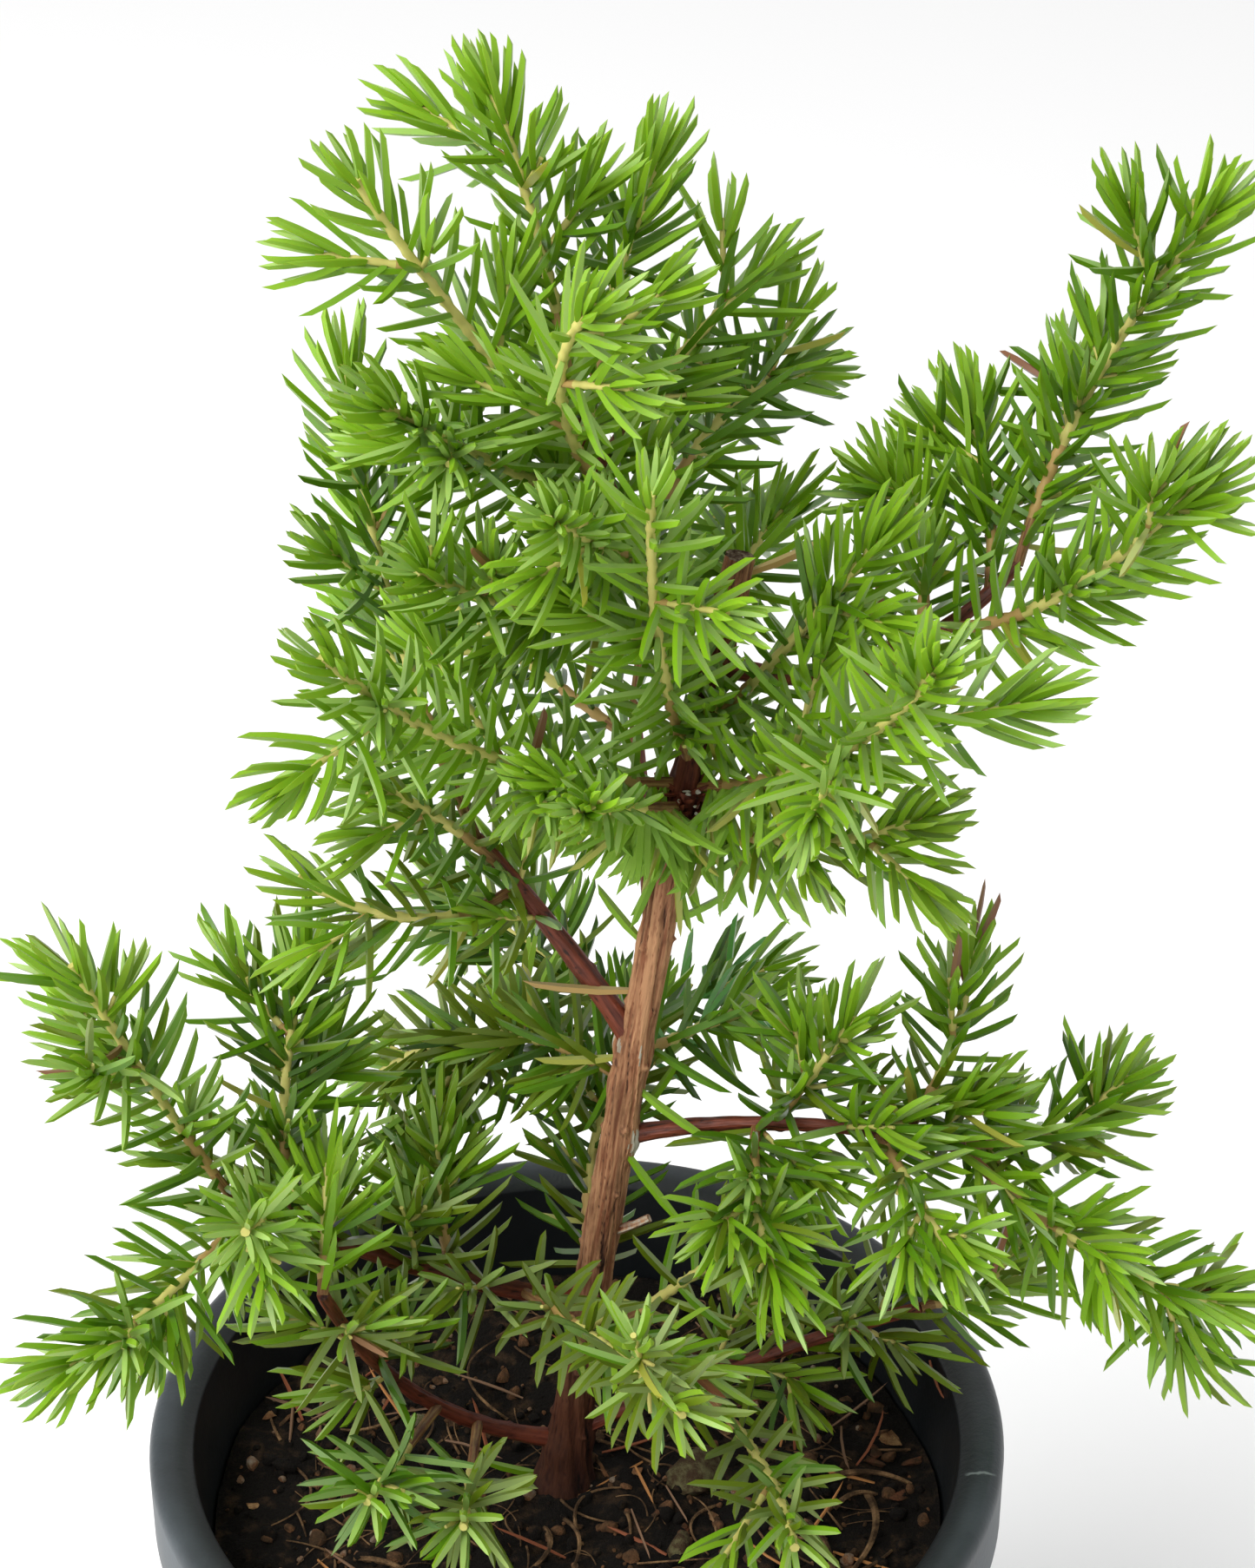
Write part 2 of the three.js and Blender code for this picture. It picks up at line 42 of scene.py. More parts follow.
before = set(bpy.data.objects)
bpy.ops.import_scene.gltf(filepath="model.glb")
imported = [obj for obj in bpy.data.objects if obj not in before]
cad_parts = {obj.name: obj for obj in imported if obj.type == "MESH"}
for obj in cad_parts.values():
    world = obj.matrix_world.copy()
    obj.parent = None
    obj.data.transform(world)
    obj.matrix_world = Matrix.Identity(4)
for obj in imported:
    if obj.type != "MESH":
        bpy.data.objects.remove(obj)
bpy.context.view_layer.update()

# Everything below is in millimetres until a mesh is made of it
MM = 0.001
UP = np.array([0.0, 0.0, 1.0])
BLACK = (0, 0, 0)
WHITE = (1, 1, 1)

# Pot and soil, as the solids have them
POT_HEIGHT = 118.0
POT_BASE_RADIUS = 41.0
RIM_RADIUS = 57.5
LIP_WIDTH = 6.0
SKIRT_HEIGHT = 12.0
WALL = 1.4
FLOOR = 2.0
DRAIN_HOLES = 6
DRAIN_RADIUS = 4.0
DRAIN_CIRCLE = 31.0
SOIL_LEVEL = 102.0
SOIL_BUMP = 1.2
GAP = 0.3

# Radius of the lip's inner edge
LIP_EDGE = 0.8

# Trunk
TRUNK_FOOT = (-2.0, 5.0)
TRUNK_TOP = (20.0, 5.0)
TRUNK_TOP_LEVEL = 247.0
TRUNK_BOW = -3.0
TRUNK_FOOT_RADIUS = 2.7
TRUNK_TOP_RADIUS = 1.8
FLARE = 2.0
FLARE_HEIGHT = 5.0
BOUGH_TIP_SHARE = 0.65

# Stems and twigs, by the rule that grows the solids
STEM_RADIUS = 0.95
STEM_TIP_RADIUS = 0.4
TWIG_RADIUS = 0.6
TWIG_TIP_RADIUS = 0.3
TWIG_SPACING = 22.0
TWIG_FIRST = 0.3
TWIG_SPAN = 0.5
TWIG_BASE_LENGTH = 4.0
TWIG_SHARE = 0.2
TWIG_ANGLE = 50.0
TWIG_SHORTEST = 0.8
GOLDEN_ANGLE = 137.5

# Finer shoots, which the solids leave out
SIDE_LAST = 0.94
SIDE_SHORTEST = 0.75
SIDE_ANGLE = 46.0
SIDE_ANGLE_SPREAD = 12.0
SIDE_CURVE = 0.08
SIDE_RADIUS = 0.45
SIDE_TIP_RADIUS = 0.25
SIDE_LENGTHS = (1.1, 0.7)
SPRIGS_FROM = 0.4

# The seed of each mass is its number times this, and each limb's room is measured in so many pieces
SEED_STEP = 7919
TRUNK_PIECES = 20
BOUGH_PIECES = 10
STEM_PIECES = 8

# A limb's foot as a share of its carrier's length, its heading round the pot (0 is to the right, -90 to the
# front) and its rise above level in degrees, its length, and how far it arches up and sways aside as shares
# of its length. A bough also has its radius, and the share up to which it bears no twigs of its own
Row = namedtuple("Row", "at heading rise length arch sway radius bare", defaults=(0, 0, 0, 0))

BOUGHS = dict(
    left_bough=Row(0.515, 170, 55, 35, 0.05, 0, 1.7, 0.45),
    right_bough=Row(0.41, -10, 5, 45, 0.1, 0.05, 1.3, 0.38),
    low_left_bough=Row(0.22, -165, 30, 54, -0.1, 0, 1.5, 0.14),
    ground_left_bough=Row(0.05, -140, 50, 61, -0.3, -0.2, 1.4, 0.6),
    ground_right_bough=Row(0.06, 0, 25, 52, 0.05, 0, 1.4, 0.3),
    upper_right_bough=Row(0.9, 10, 15, 38, -0.25, -0.2, 1.4, 0.4),
    upper_left_bough=Row(0.88, 170, 65, 39, 0.05, 0.15, 1.5, 0.45),
    back_low_bough=Row(0.3, 85, 5, 40, 0.1, 0, 1.4, 0.4),
    back_bough=Row(0.62, 95, 30, 34, -0.05, 0, 1.4, 0.8),
)

# Each mass of foliage by its stem, under the limb that carries it
STEMS = dict(
    upper_left_bough=dict(
        crown_left=Row(0.75, -170, 55, 48, -0.1, -0.1),
        crown_leader=Row(1, 135, 70, 38, -0.1, -0.1),
        crown_right=Row(0.9, 60, 60, 33, 0.05, 0.05),
        crown_front=Row(0.55, -100, 60, 46, 0.1, -0.25),
        crown_fork=Row(0.65, -150, 35, 37, -0.1, -0.2),
        crown_star=Row(0.45, -110, 35, 38),
        crown_shelf=Row(0.25, -150, 25, 37, -0.2, -0.25),
        crown_back=Row(0.8, 50, 25, 35, 0.1),
        crown_back_low=Row(0.5, 55, 15, 38, 0.25, 0.05),
    ),
    trunk=dict(
        stub_tuft=Row(0.96, 75, 0, 22),
        whorl_left=Row(0.785, -140, 35, 65, -0.2, -0.1),
        whorl_star=Row(0.76, -110, 30, 43),
        whorl_up=Row(0.8, -100, 60, 61, -0.05, -0.05),
        whorl_right=Row(0.78, -60, 40, 67, -0.15, 0.1),
        whorl_back=Row(0.83, -30, 55, 41, -0.05, -0.05),
        whorl_low=Row(0.75, -35, 20, 37, -0.2),
        behind_right=Row(0.5, 50, -10, 34, 0.05, -0.1),
        behind_left=Row(0.47, 140, -25, 51, 0.3),
        right_tuft=Row(0.16, -35, 50, 48, 0, 0.05),
        behind_trunk=Row(0.25, 75, 45, 38, -0.15, 0.2),
    ),
    left_bough=dict(
        left_tall=Row(1, 135, 70, 62, 0, 0.1),
        left_bend=Row(0.85, -150, 45, 25, 0.1),
        left_tongue=Row(0.75, -160, 15, 29, -0.25, 0.2),
    ),
    upper_right_bough=dict(
        arm_tip=Row(1, 25, 60, 48, -0.05, 0.2),
        arm_right=Row(0.75, -15, 40, 38, -0.2, -0.15),
        arm_up=Row(0.9, 95, 35, 26, 0.05, -0.1),
        arm_inner=Row(0.65, 95, 50, 20, 0.05, -0.15),
    ),
    right_bough=dict(
        low_right_rise=Row(0.45, -5, 60, 20),
        low_right_dead=Row(0.82, 60, 45, 26, -0.05, -0.15),
        low_right_fan=Row(0.93, 25, -5, 27, -0.15, -0.05),
        low_right_tip=Row(1, -10, -30, 41, -0.15, -0.1),
        low_right_hang=Row(0.4, -85, -15, 26, 0, -0.1),
        low_right_under=Row(0.75, -65, -15, 21),
    ),
    low_left_bough=dict(
        low_left_tip=Row(1, -175, 65, 41, -0.05),
        low_left_rise=Row(0.85, 80, 60, 35, 0.15, 0.1),
        low_left_hang=Row(0.95, -130, -10, 33, -0.05, 0.05),
        low_left_star=Row(0.9, -90, 35, 31),
        low_left_back=Row(0.4, 95, 55, 21, 0.05, 0.1),
        low_left_front=Row(0.2, -65, 20, 52, 0, 0.05),
    ),
    ground_left_bough=dict(
        ground_left_rise=Row(1, 90, 35, 17),
        front_star_left=Row(0.45, -100, 25, 42),
        front_star_right=Row(0.3, -90, 25, 44),
    ),
    ground_right_bough=dict(
        ground_right_front=Row(0.35, -75, 15, 48, 0, 0.1),
        ground_right_tip=Row(1, 15, 10, 14),
    ),
    back_low_bough=dict(
        back_low_left=Row(1, 140, 15, 38, 0.1),
        back_low_right=Row(0.9, 35, 10, 38, 0.1),
    ),
    back_bough=dict(
        back_up=Row(1, 75, 60, 44),
        back_left=Row(0.85, 145, 20, 40),
    ),
)

# Share of a stem beyond which it bears needles and twigs, where its foot stays bare, and the usual share
LEAVES_FROM = dict(
    front_star_left=0.55, front_star_right=0.55, ground_right_front=0.35, right_tuft=0.4, low_left_front=0.08,
    whorl_low=0.3, whorl_star=0.5,
)
USUAL_LEAVES_FROM = 0.06

# Share of its solid's stem at which a mass ends
ENDS_AT = dict(behind_right=0.55, back_low_right=0.5)

# How far apart the sprigs of a mass, or of all masses on a limb, stand against the usual, and its whorls
SPRIG_ROOM = dict(
    upper_left_bough=2.2, crown_left=3.2, crown_right=3.2, crown_back=3.2, crown_leader=2.6, trunk=2.0,
    whorl_left=2.6, left_bough=2.2, left_tongue=4.0, back_bough=3.0, back_low_bough=1.6, right_bough=0.85,
    low_left_rise=0.7, low_left_back=0.6, behind_left=0.7, right_tuft=3.5, ground_right_front=2.5,
    low_right_dead=4.0, whorl_star=5.0,
)
MOST_ROOM_FOR_TWIGS = 1.4
WHORL_ROOM = dict(
    crown_left=1.25, crown_right=1.4, crown_back=1.6, crown_back_low=1.35, crown_leader=1.1, whorl_left=1.1,
    left_tongue=1.5, left_tall=1.15, left_bend=1.15, back_bough=2.2, back_up=2.0, back_left=1.5,
    back_low_right=1.2, behind_right=1.1, right_tuft=1.9, low_left_front=1.3, low_left_star=1.3,
    ground_right_front=1.3, front_star_left=1.15, front_star_right=1.15,
)

# Masses whose needles are shorter than the rest
NEEDLE_SIZE = dict(
    low_right_dead=0.85, whorl_star=0.66, crown_star=0.85, ground_right_front=0.8, low_left_star=0.88,
    low_left_front=0.92,
)

# Masses whose pale stems show at the front, where half of the needles in front of them are missing
SHOWN_STEMS = ["whorl_up", "crown_front", "crown_left"]
SHOWN_FROM = (0.0, -0.83, 0.56)
SHOWN_SPREAD = 0.72
SHOWN_GAPS = 0.5

# Masses that grow in the shade of others, and how many of their needles turn olive for it
SHADED = dict(
    whorl_low=0.5, left_tongue=0.6, left_bend=0.4, left_bough=0.4, behind_left=0.6, low_left_back=0.6,
    right_tuft=0.6, front_star_left=0.2,
)

# Needles that stand singly: the limb, a share of its length, heading, rise, length and tone
SINGLE_NEEDLES = [
    ("trunk", 0.468, -25, -30, 11.5, "bright"),
    ("trunk", 0.4, -40, -40, 12.5, "green"),
    ("trunk", 0.43, 20, 50, 10, "green"),
    ("trunk", 0.725, -85, -65, 11, "yellow"),
    ("trunk", 0.573, -175, 5, 14, "dry"),
    ("trunk", 0.5, 175, -10, 11, "yellow"),
    ("trunk", 0.01, -178, 15, 8, "green"),
    ("trunk", 0.235, -25, -10, 11, "yellow"),
    ("trunk", 0.65, -20, 35, 9, "green"),
    ("trunk", 0.985, 20, 12, 12, "dry"),
    ("trunk", 0.62, 150, 40, 9, "bright"),
    ("low_left_tip", 0.62, -170, -2, 12, "dead"),
    ("low_left_tip", 0.66, -165, 4, 10, "dead"),
    ("low_left_tip", 0.7, -100, 20, 8, "dead"),
    ("upper_right_bough", 0.6, 150, 70, 10, "dead"),
    ("upper_right_bough", 0.35, 20, 20, 11, "dry"),
    ("upper_right_bough", 0.5, -40, 10, 8, "dead"),
    ("low_right_dead", 1, 70, 50, 9, "dead"),
    ("low_right_dead", 0.97, 30, 60, 9, "dead"),
    ("low_right_dead", 0.9, 100, 60, 8, "dead"),
    ("crown_fork", 0.8, 160, 30, 8, "dead"),
]

# Needles that hang in a fringe under the whorl of stems: how many, from which limbs, from what share of a
# stem and of the trunk, and how steeply. Those from higher up the trunk stand up instead
FRINGE = 126
FRINGE_LIMBS = ["trunk", "whorl_low", "whorl_left", "whorl_star", "whorl_left", "whorl_right", "whorl_star"]
FRINGE_SHARES = [(0.03, 0.42), (0.69, 0.84)]
FRINGE_RISES_FROM = 0.77
FRINGE_RISES = (-85, -15)
FRINGE_TONES = (0, 1, 1, 2, 0)
FRINGE_SEED = 909

# The short dead twig low on the trunk's right
DEAD_TWIG = Row(0.3, -5, 25, 7, -0.1)

# Chips with a place of their own on the soil: the place, length, width, height, turn and colour
PLACED_CHIPS = [
    (45.0, 14.4, 5.2, 3.6, 1.8, 15, "tan"),
    (46.1, 22.0, 4.4, 2.4, 1.4, -10, "brown"),
    (48.2, 9.1, 3.2, 1.8, 1.2, 20, "red"),
    (-43.8, 17.1, 2.6, 1.8, 1.2, 30, "tan"),
    (-44.7, -0.5, 2.6, 1.4, 1.0, -30, "tan"),
    (16.5, 5.0, 8.0, 6.5, 4.2, 40, "moss"),
    (14.0, -8.5, 4.2, 2.6, 2.2, 60, "moss"),
    (-23.0, 16.0, 2.6, 2.0, 1.6, 0, "pale"),
    (-24.6, 23.0, 2.2, 1.8, 1.4, 0, "pale"),
]

# Root fibres with a place of their own: two ends, how far they bow out and their radius
PLACED_FIBRES = [
    (32.7, 3.4, 46.0, 3.4, 3.2, 0.45),
    (31.1, -3.6, 34.5, -13.9, 1.0, 0.6),
    (39.9, 2.1, 36.5, -13.9, 4.4, 0.5),
    (30.9, 8.8, 33.2, 2.1, -1.6, 0.45),
    (35.1, -0.9, 41.2, 2.1, 1.0, 0.4),
    (30.0, -16.0, 42.5, -9.0, -4.5, 0.35),
    (-4.5, -4.6, -7.4, -13.9, 4.3, 0.4),
    (-1.8, -2.9, -1.0, -13.9, 3.4, 0.3),
    (-30.0, -11.0, -20.0, -19.0, 4.0, 0.4),
    (-12.0, 34.0, 6.0, 38.0, 5.0, 0.4),
]

# Fallen needles with a place of their own: root, heading, rise, length, how far they bend, and colour
PLACED_LITTER = [
    (-12.4, 7.4, 0.3, 110, 50, 9.5, 0.05, "red"),
    (-28.1, 2.2, 0.5, 58, 12, 8.5, 0.04, "tan"),
    (-18.6, 11.5, 0.5, -22, 12, 9.5, -0.2, "grey"),
    (3.2, 9.2, 0.6, 13, 6, 8.5, 0.05, "red"),
    (-36.0, 18.0, 0.5, 165, 12, 9.0, 0.08, "grey"),
    (-39.2, 17.0, 0.4, 118, 30, 8.5, 0.05, "red"),
    (38.5, 7.4, 0.6, 52, 10, 9.5, 0.22, "red"),
    (30.0, 10.3, 0.4, 95, 62, 9.5, 0.05, "red"),
    (28.0, 11.5, 0.4, 70, 50, 8.0, 0.05, "tan"),
    (48.9, 14.6, 13.6, -80, -22, 6.5, 0.12, "red"),
    (12.0, -10.0, 0.5, 150, 8, 9.0, 0.1, "red"),
]


def float_of(name, description, default, **limits):
    return FloatProperty(name=name, description=description, default=default, **limits)


def length_of(name, description, default):
    return float_of(name, description, default, min=0, unit="LENGTH", precision=5)


def share_of(name, description, default):
    return float_of(name, description, default, min=0, max=1, subtype="FACTOR")


def angle_of(name, description, degrees):
    return float_of(name, description, math.radians(degrees), unit="ROTATION")


def count_of(name, description, default, least, most):
    return IntProperty(name=name, description=description, default=default, min=least, max=most)


def colour_of(name, description, hex_colour):
    """A colour as it looks on the screen."""
    channels = [int(hex_colour[i:i + 2], 16) / 255 for i in (1, 3, 5)]
    return FloatVectorProperty(
        name=name, description=description, default=channels, size=3, min=0, max=1, subtype="COLOR_GAMMA")


def linear(colour):
    """The linear colour, with full alpha, of one as it looks on the screen."""
    return [c / 12.92 if c <= 0.04045 else ((c + 0.055) / 1.055) ** 2.4 for c in colour] + [1.0]


class PotLook(PropertyGroup):
    """Sizes and colours of the pot."""

    segments: count_of("Segments", "Steps round the pot", 160, 32, 256)
    lip_round: length_of("Lip rounding", "Radius of the lip's outer edge", 0.0018)
    lip_roll: length_of("Lip roll", "Radius by which the lip turns down to its inner edge", 0.006)
    plastic: colour_of("Plastic", "Colour of the plastic", "#2b3236")
    plastic_dark: colour_of("Dark plastic", "Colour of the darker patches", "#1f2427")
    # Faces that look sideways are lighter than the top: partly dust, partly painted sheen
    dust: colour_of("Dust", "Colour of dust and fine scratches", "#858d93")
    dust_and_sheen_amount: share_of("Dust amount", "How much dust lies on faces that look sideways", 0.3)
    # Painted shade: the colour that darkens the inner wall over the soil
    shadowed: colour_of("Shadowed", "Colour of the damp inner wall over the soil", "#14181b")
    scratch: colour_of("Scratch", "Colour of the scratch across the lip", "#7f8886")


class SoilLook(PropertyGroup):
    """Sizes, counts and colours of the potting mix and what lies on it."""

    lumps: length_of("Lumps", "Height of the broad lumps", 0.0014)
    crumbs: count_of("Crumbs", "Loose crumbs on the soil", 1500, 0, 2000)
    chips: count_of("Chips", "Bark chips strewn on the soil", 70, 0, 300)
    fibres: count_of("Fibres", "Root fibres on the soil", 150, 0, 300)
    litter: count_of("Fallen needles", "Dead needles on the soil", 42, 0, 400)
    soil_dark: colour_of("Dark soil", "Colour of the wet soil", "#16110c")
    soil_brown: colour_of("Brown soil", "Colour of the drier soil", "#4d3a28")
    chip_tan: colour_of("Tan chip", "Colour of a fresh chip", "#cba170")
    chip_brown: colour_of("Brown chip", "Colour of an old chip", "#8a6040")
    chip_red: colour_of("Red chip", "Colour of a reddish chip", "#7d4d34")
    moss: colour_of("Mossy lump", "Colour of the mossy lumps", "#7a7550")
    pale: colour_of("Pale crumb", "Colour of the pale crumbs", "#a89b88")
    fibre: colour_of("Fibre", "Colour of the root fibres", "#a8835c")
    litter_red: colour_of("Fallen needle", "Colour of a newly fallen needle", "#96573a")
    litter_grey: colour_of("Old fallen needle", "Colour of an old fallen needle", "#86674f")
    litter_tan: colour_of("Tan fallen needle", "Colour of a dry fallen needle", "#c4874f")


class BarkLook(PropertyGroup):
    """Relief and colours of the trunk and boughs."""

    plates: length_of("Plates", "How far the peeling strips stand out", 0.00012)
    cracks: length_of("Cracks", "Depth of the lengthwise cracks", 0.00018)
    fibres: length_of("Fibres", "Height of the fine fibres", 0.00012)
    collar: length_of("Collars", "Swelling where a limb leaves", 0.0007)
    ridge: colour_of("Bark ridge", "Colour of the weathered strips", "#bd8d66")
    mid: colour_of("Bark", "Colour of the bark between", "#7f4a30")
    crack: colour_of("Bark crack", "Colour inside the cracks", "#40251a")
    foot_tint: colour_of("Foot tint", "Shade of the wet foot of the trunk", "#5c4438")
    low_tint: colour_of("Low tint", "Shade of the lower trunk", "#84695c")
    whorl_tint: colour_of("Whorl tint", "Shade of the red scales at the whorl", "#94645a")
    upper_tint: colour_of("Upper tint", "Shade of the trunk above the whorl", "#b08a80")
    red: colour_of("Young bark", "Colour of the lit lines on a bough", "#82402b")
    red_mid: colour_of("Young bark between", "Colour of a bough's smooth bark", "#5d2b1e")
    red_dark: colour_of("Dark young bark", "Colour of its shaded lines", "#33180f")
    cut: colour_of("Cut wood", "Colour of the weathered cut at the top", "#a3937a")
    scale: colour_of("Bud scale", "Colour of the dry scales at the whorl", "#6b3320")
    resin: colour_of("Resin", "Colour of the dried resin at the whorl", "#bdb7a8")


class FoliageLook(PropertyGroup):
    """Sizes and colours of twigs and needles."""

    needle_length: length_of("Needle length", "Length of a full-grown needle", 0.0107)
    needle_width: length_of("Needle width", "Width of a needle at its widest", 0.0021)
    needle_thickness: length_of("Needle thickness", "From the channel to the keel", 0.00138)
    whorl_spacing: length_of("Whorl spacing", "From one whorl of needles to the next", 0.0024)
    old_angle: angle_of("Old needle angle", "Between the oldest needles and their stem", 74)
    needle_angle: angle_of("Needle angle", "Between the needles of a stem's last third and the stem", 50)
    sprig_angle: angle_of("Sprig needle angle", "Between a needle and its sprig", 27)
    tip_angle: angle_of("Tip angle", "Between the last needles and their twig", 15)
    twig_spacing: length_of("Twig spacing", "From one fine twig of a bough to the next", 0.0048)
    twig_length: length_of("Twig length", "Length of a fine twig of a bough", 0.011)
    sprig_spacing: length_of("Sprig spacing", "From one short sprig to the next", 0.0052)
    sprig_length: length_of("Sprig length", "Length of a short sprig", 0.0048)
    fresh: colour_of("Fresh needle", "Colour at the growing tips", "#7ba51f")
    bright: colour_of("Bright needle", "Colour of young needles", "#6b9613")
    green: colour_of("Green needle", "Colour of full-grown needles", "#507a0b")
    deep: colour_of("Deep needle", "Colour of older needles", "#385b08")
    soft: colour_of("Soft needle", "Colour of young needles in the shade", "#789b24")
    olive: colour_of("Olive needle", "Colour of older needles in the shade", "#5f7412")
    blue: colour_of("Blue needle", "Colour of needles at the back right", "#568f44")
    yellow: colour_of("Yellow needle", "Colour of ageing needles", "#969838")
    dead: colour_of("Dead needle", "Colour of dead needles", "#7d5236")
    # The pale band is the needle's own waxy band, whitened further as a painted sheen on the upper side
    band: colour_of("Band", "Colour of the waxy band on a needle's upper side", "#c6d9c2")
    band_share: share_of("Band share", "How far the band covers the needle's own colour", 0.38)
    wood: colour_of("Woody stem", "Colour of a woody stem", "#6f3a24")
    tan: colour_of("Ripening stem", "Colour of a stem that is turning woody", "#ab8c52")
    cream: colour_of("Young stem", "Colour of a growing stem", "#c4bc6a")


class StageLook(PropertyGroup):
    """Floor, light and camera."""

    floor: colour_of("Floor", "Colour of the floor", "#fafafa")
    sky: float_of("Sky", "Strength of the even light all round", 0.7, min=0)
    key: float_of("Key light", "Power of the soft main light", 18, min=0, unit="POWER")
    side: float_of("Side light", "Power of the soft low light on the left", 7, min=0, unit="POWER")
    eye: FloatVectorProperty(
        name="Camera", description="Where the camera stands", default=(0.0068, -0.3725, 0.4516), size=3,
        subtype="TRANSLATION")
    pitch: angle_of("Camera pitch", "How far the camera looks down", 32.03)
    lens: float_of("Lens", "Focal length in millimetres", 83.8, min=1)


# Shapes that are copied many times, and meshes joined from their arrays


class Pattern:
    """A small shape as arrays: its places, the corners of its faces and the tone of each face."""

    def __init__(self, bm):
        bm.verts.index_update()
        self.places = np.array([v.co for v in bm.verts])
        self.corners = np.array([v.index for f in bm.faces for v in f.verts])
        self.sizes = np.array([len(f.verts) for f in bm.faces])
        self.tones = np.array([f.material_index for f in bm.faces])
        self.middles = np.array([f.calc_center_median() for f in bm.faces])
        bm.free()

    def over_faces(self, values):
        """The mean over each face of a value for each place."""
        starts = np.concatenate([[0], np.cumsum(self.sizes)[:-1]])
        return np.add.reduceat(values[self.corners], starts) / self.sizes


class Heap:
    """Copies of patterns, put together as one mesh.

    Each place also has a relief from about -1 to 1, and a place along the grain of its limb.
    """

    def __init__(self):
        self.rows, self.count = [], 0

    def add(self, pattern, places, tones, marks=None, grain=None):
        tones = np.broadcast_to(tones, pattern.sizes.shape)
        marks = np.zeros(len(places)) if marks is None else marks
        grain = places if grain is None else grain
        self.rows.append((places, pattern.corners + self.count, pattern.sizes, tones, marks, grain))
        self.count += len(places)

    def add_tilted(self, pattern, place, sizes, turn, tilt, lean, tone):
        """A pattern at one place, with its three half sizes, turned and tilted."""
        tilted = Matrix.Rotation(turn, 3, "Z") @ Matrix.Rotation(tilt, 3, "X")
        rotation = np.array(tilted @ Matrix.Rotation(lean, 3, "Y"))
        self.add(pattern, np.array(place) + (pattern.places * np.array(sizes)) @ rotation.T, tone)

    def add_needle(self, pattern, root, direction, upper, sizes, bend, tones):
        """A needle with its length, width and thickness, and its channel towards upper."""
        length, width, thickness = sizes
        upper = unit(upper - (upper @ direction) * direction)
        side = np.cross(upper, direction)
        x, y, z = pattern.places.T
        lift = thickness * z + bend * length * x * x
        places = root + np.outer(length * x, direction) + np.outer(0.5 * width * y, side)
        self.add(pattern, places + np.outer(lift, upper), tones)

    def piece(self, name, materials, slot, *nodes, smooth=40):
        """The heap as a finished piece, smooth but for edges sharper than an angle."""
        places, corners, sizes, tones, marks, grain = (np.concatenate(column) for column in zip(*self.rows))
        mesh = bpy.data.meshes.new(name)
        mesh.vertices.add(self.count)
        mesh.vertices.foreach_set("co", (places * MM).ravel())
        mesh.loops.add(len(corners))
        mesh.loops.foreach_set("vertex_index", corners)
        mesh.polygons.add(len(sizes))
        mesh.polygons.foreach_set("loop_start", np.concatenate([[0], np.cumsum(sizes)[:-1]]))
        mesh.polygons.foreach_set("material_index", tones)
        mesh.update(calc_edges=True)
        mesh.attributes.new("relief", "FLOAT", "POINT").data.foreach_set("value", marks)
        mesh.attributes.new("grain", "FLOAT_VECTOR", "POINT").data.foreach_set("vector", (grain * MM).ravel())
        mesh.shade_smooth()
        mesh.set_sharp_from_angle(angle=math.radians(smooth))
        mesh.validate()
        add_piece(name, mesh, materials, slot, *nodes)


def mesh_from(bm, name):
    mesh = bpy.data.meshes.new(name)
    bm.to_mesh(mesh)
    bm.free()
    return mesh


def new_object(name, data):
    """An object in the scene, in place of any older one of its name."""
    old = bpy.data.objects.get(name)
    if old:
        bpy.data.objects.remove(old)
    made = bpy.data.objects.new(name, data)
    bpy.context.scene.collection.objects.link(made)
    return made


def add_piece(name, mesh, materials, slot, *nodes):
    """A finished piece that rides with the plant and stands for the named solids."""
    piece = new_object(name, mesh)
    for material in materials:
        mesh.materials.append(material)
    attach(piece, "root")
    if nodes:
        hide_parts(*nodes)
    return piece


def tube_mesh(sides, rings):
    """A closed tube of radius 1 from 0 to 1 up the Z axis, with evenly spaced rings."""
    bm = bmesh.new()
    middle = Matrix.Translation((0, 0, 0.5))
    bmesh.ops.create_cone(bm, cap_ends=True, segments=sides, radius1=1, radius2=1, depth=1, matrix=middle)
    upright = [e for e in bm.edges if abs(e.verts[0].co.z - e.verts[1].co.z) > 0.5]
    bmesh.ops.subdivide_edges(bm, edges=upright, cuts=rings - 1, use_grid_fill=True)
    return bm


@cache
def tube_pattern(sides, rings):
    return Pattern(tube_mesh(sides, rings))


# Along a needle, from its root to its tip: how far each ring is, and how wide. Across it: the corners of its
# section, from one edge over the channel to the other and back under the keel
NEEDLE_SHARES = (0.0, 0.3, 0.64, 0.88, 1.0)
NEEDLE_WIDTHS = (0.6, 1.0, 0.94, 0.6, 0.0)
NEEDLE_SECTION = [(1.0, 0.1), (0.36, -0.06), (-0.36, -0.06), (-1.0, 0.1), (-0.42, -0.62), (0.42, -0.62)]


@cache
def needle_pattern():
    """A needle along X with its channel up: tone 0 is the blade, tone 1 the pale band, which is partly
    painted sheen, and the root.
    """
    rings, sides = len(NEEDLE_SHARES) - 1, len(NEEDLE_SECTION)
    bm = tube_mesh(sides, rings)
    for vert in bm.verts:
        ring = round(vert.co.z * rings)
        across, up = NEEDLE_SECTION[round(math.atan2(vert.co.y, vert.co.x) / (2 * math.pi / sides)) % sides]
        width = NEEDLE_WIDTHS[ring]
        vert.co = (NEEDLE_SHARES[ring], across * width, up * math.sqrt(width))
    bmesh.ops.remove_doubles(bm, verts=bm.verts[:], dist=1e-5)
    bmesh.ops.recalc_face_normals(bm, faces=bm.faces[:])
    for face in bm.faces:
        middle = face.calc_center_median()
        face.material_index = 1 if abs(middle.y) < 0.1 and middle.z > -0.1 else 0
    return Pattern(bm)


# Seed of the noise that roughens crumbs and chips
LUMP_SEED = 1


def roughen(bm, depth, fineness, shift):
    noise.seed_set(LUMP_SEED)
    for vert in bm.verts:
        vert.co += depth * noise.noise_vector(vert.co * fineness + Vector((shift, 0, 0)))


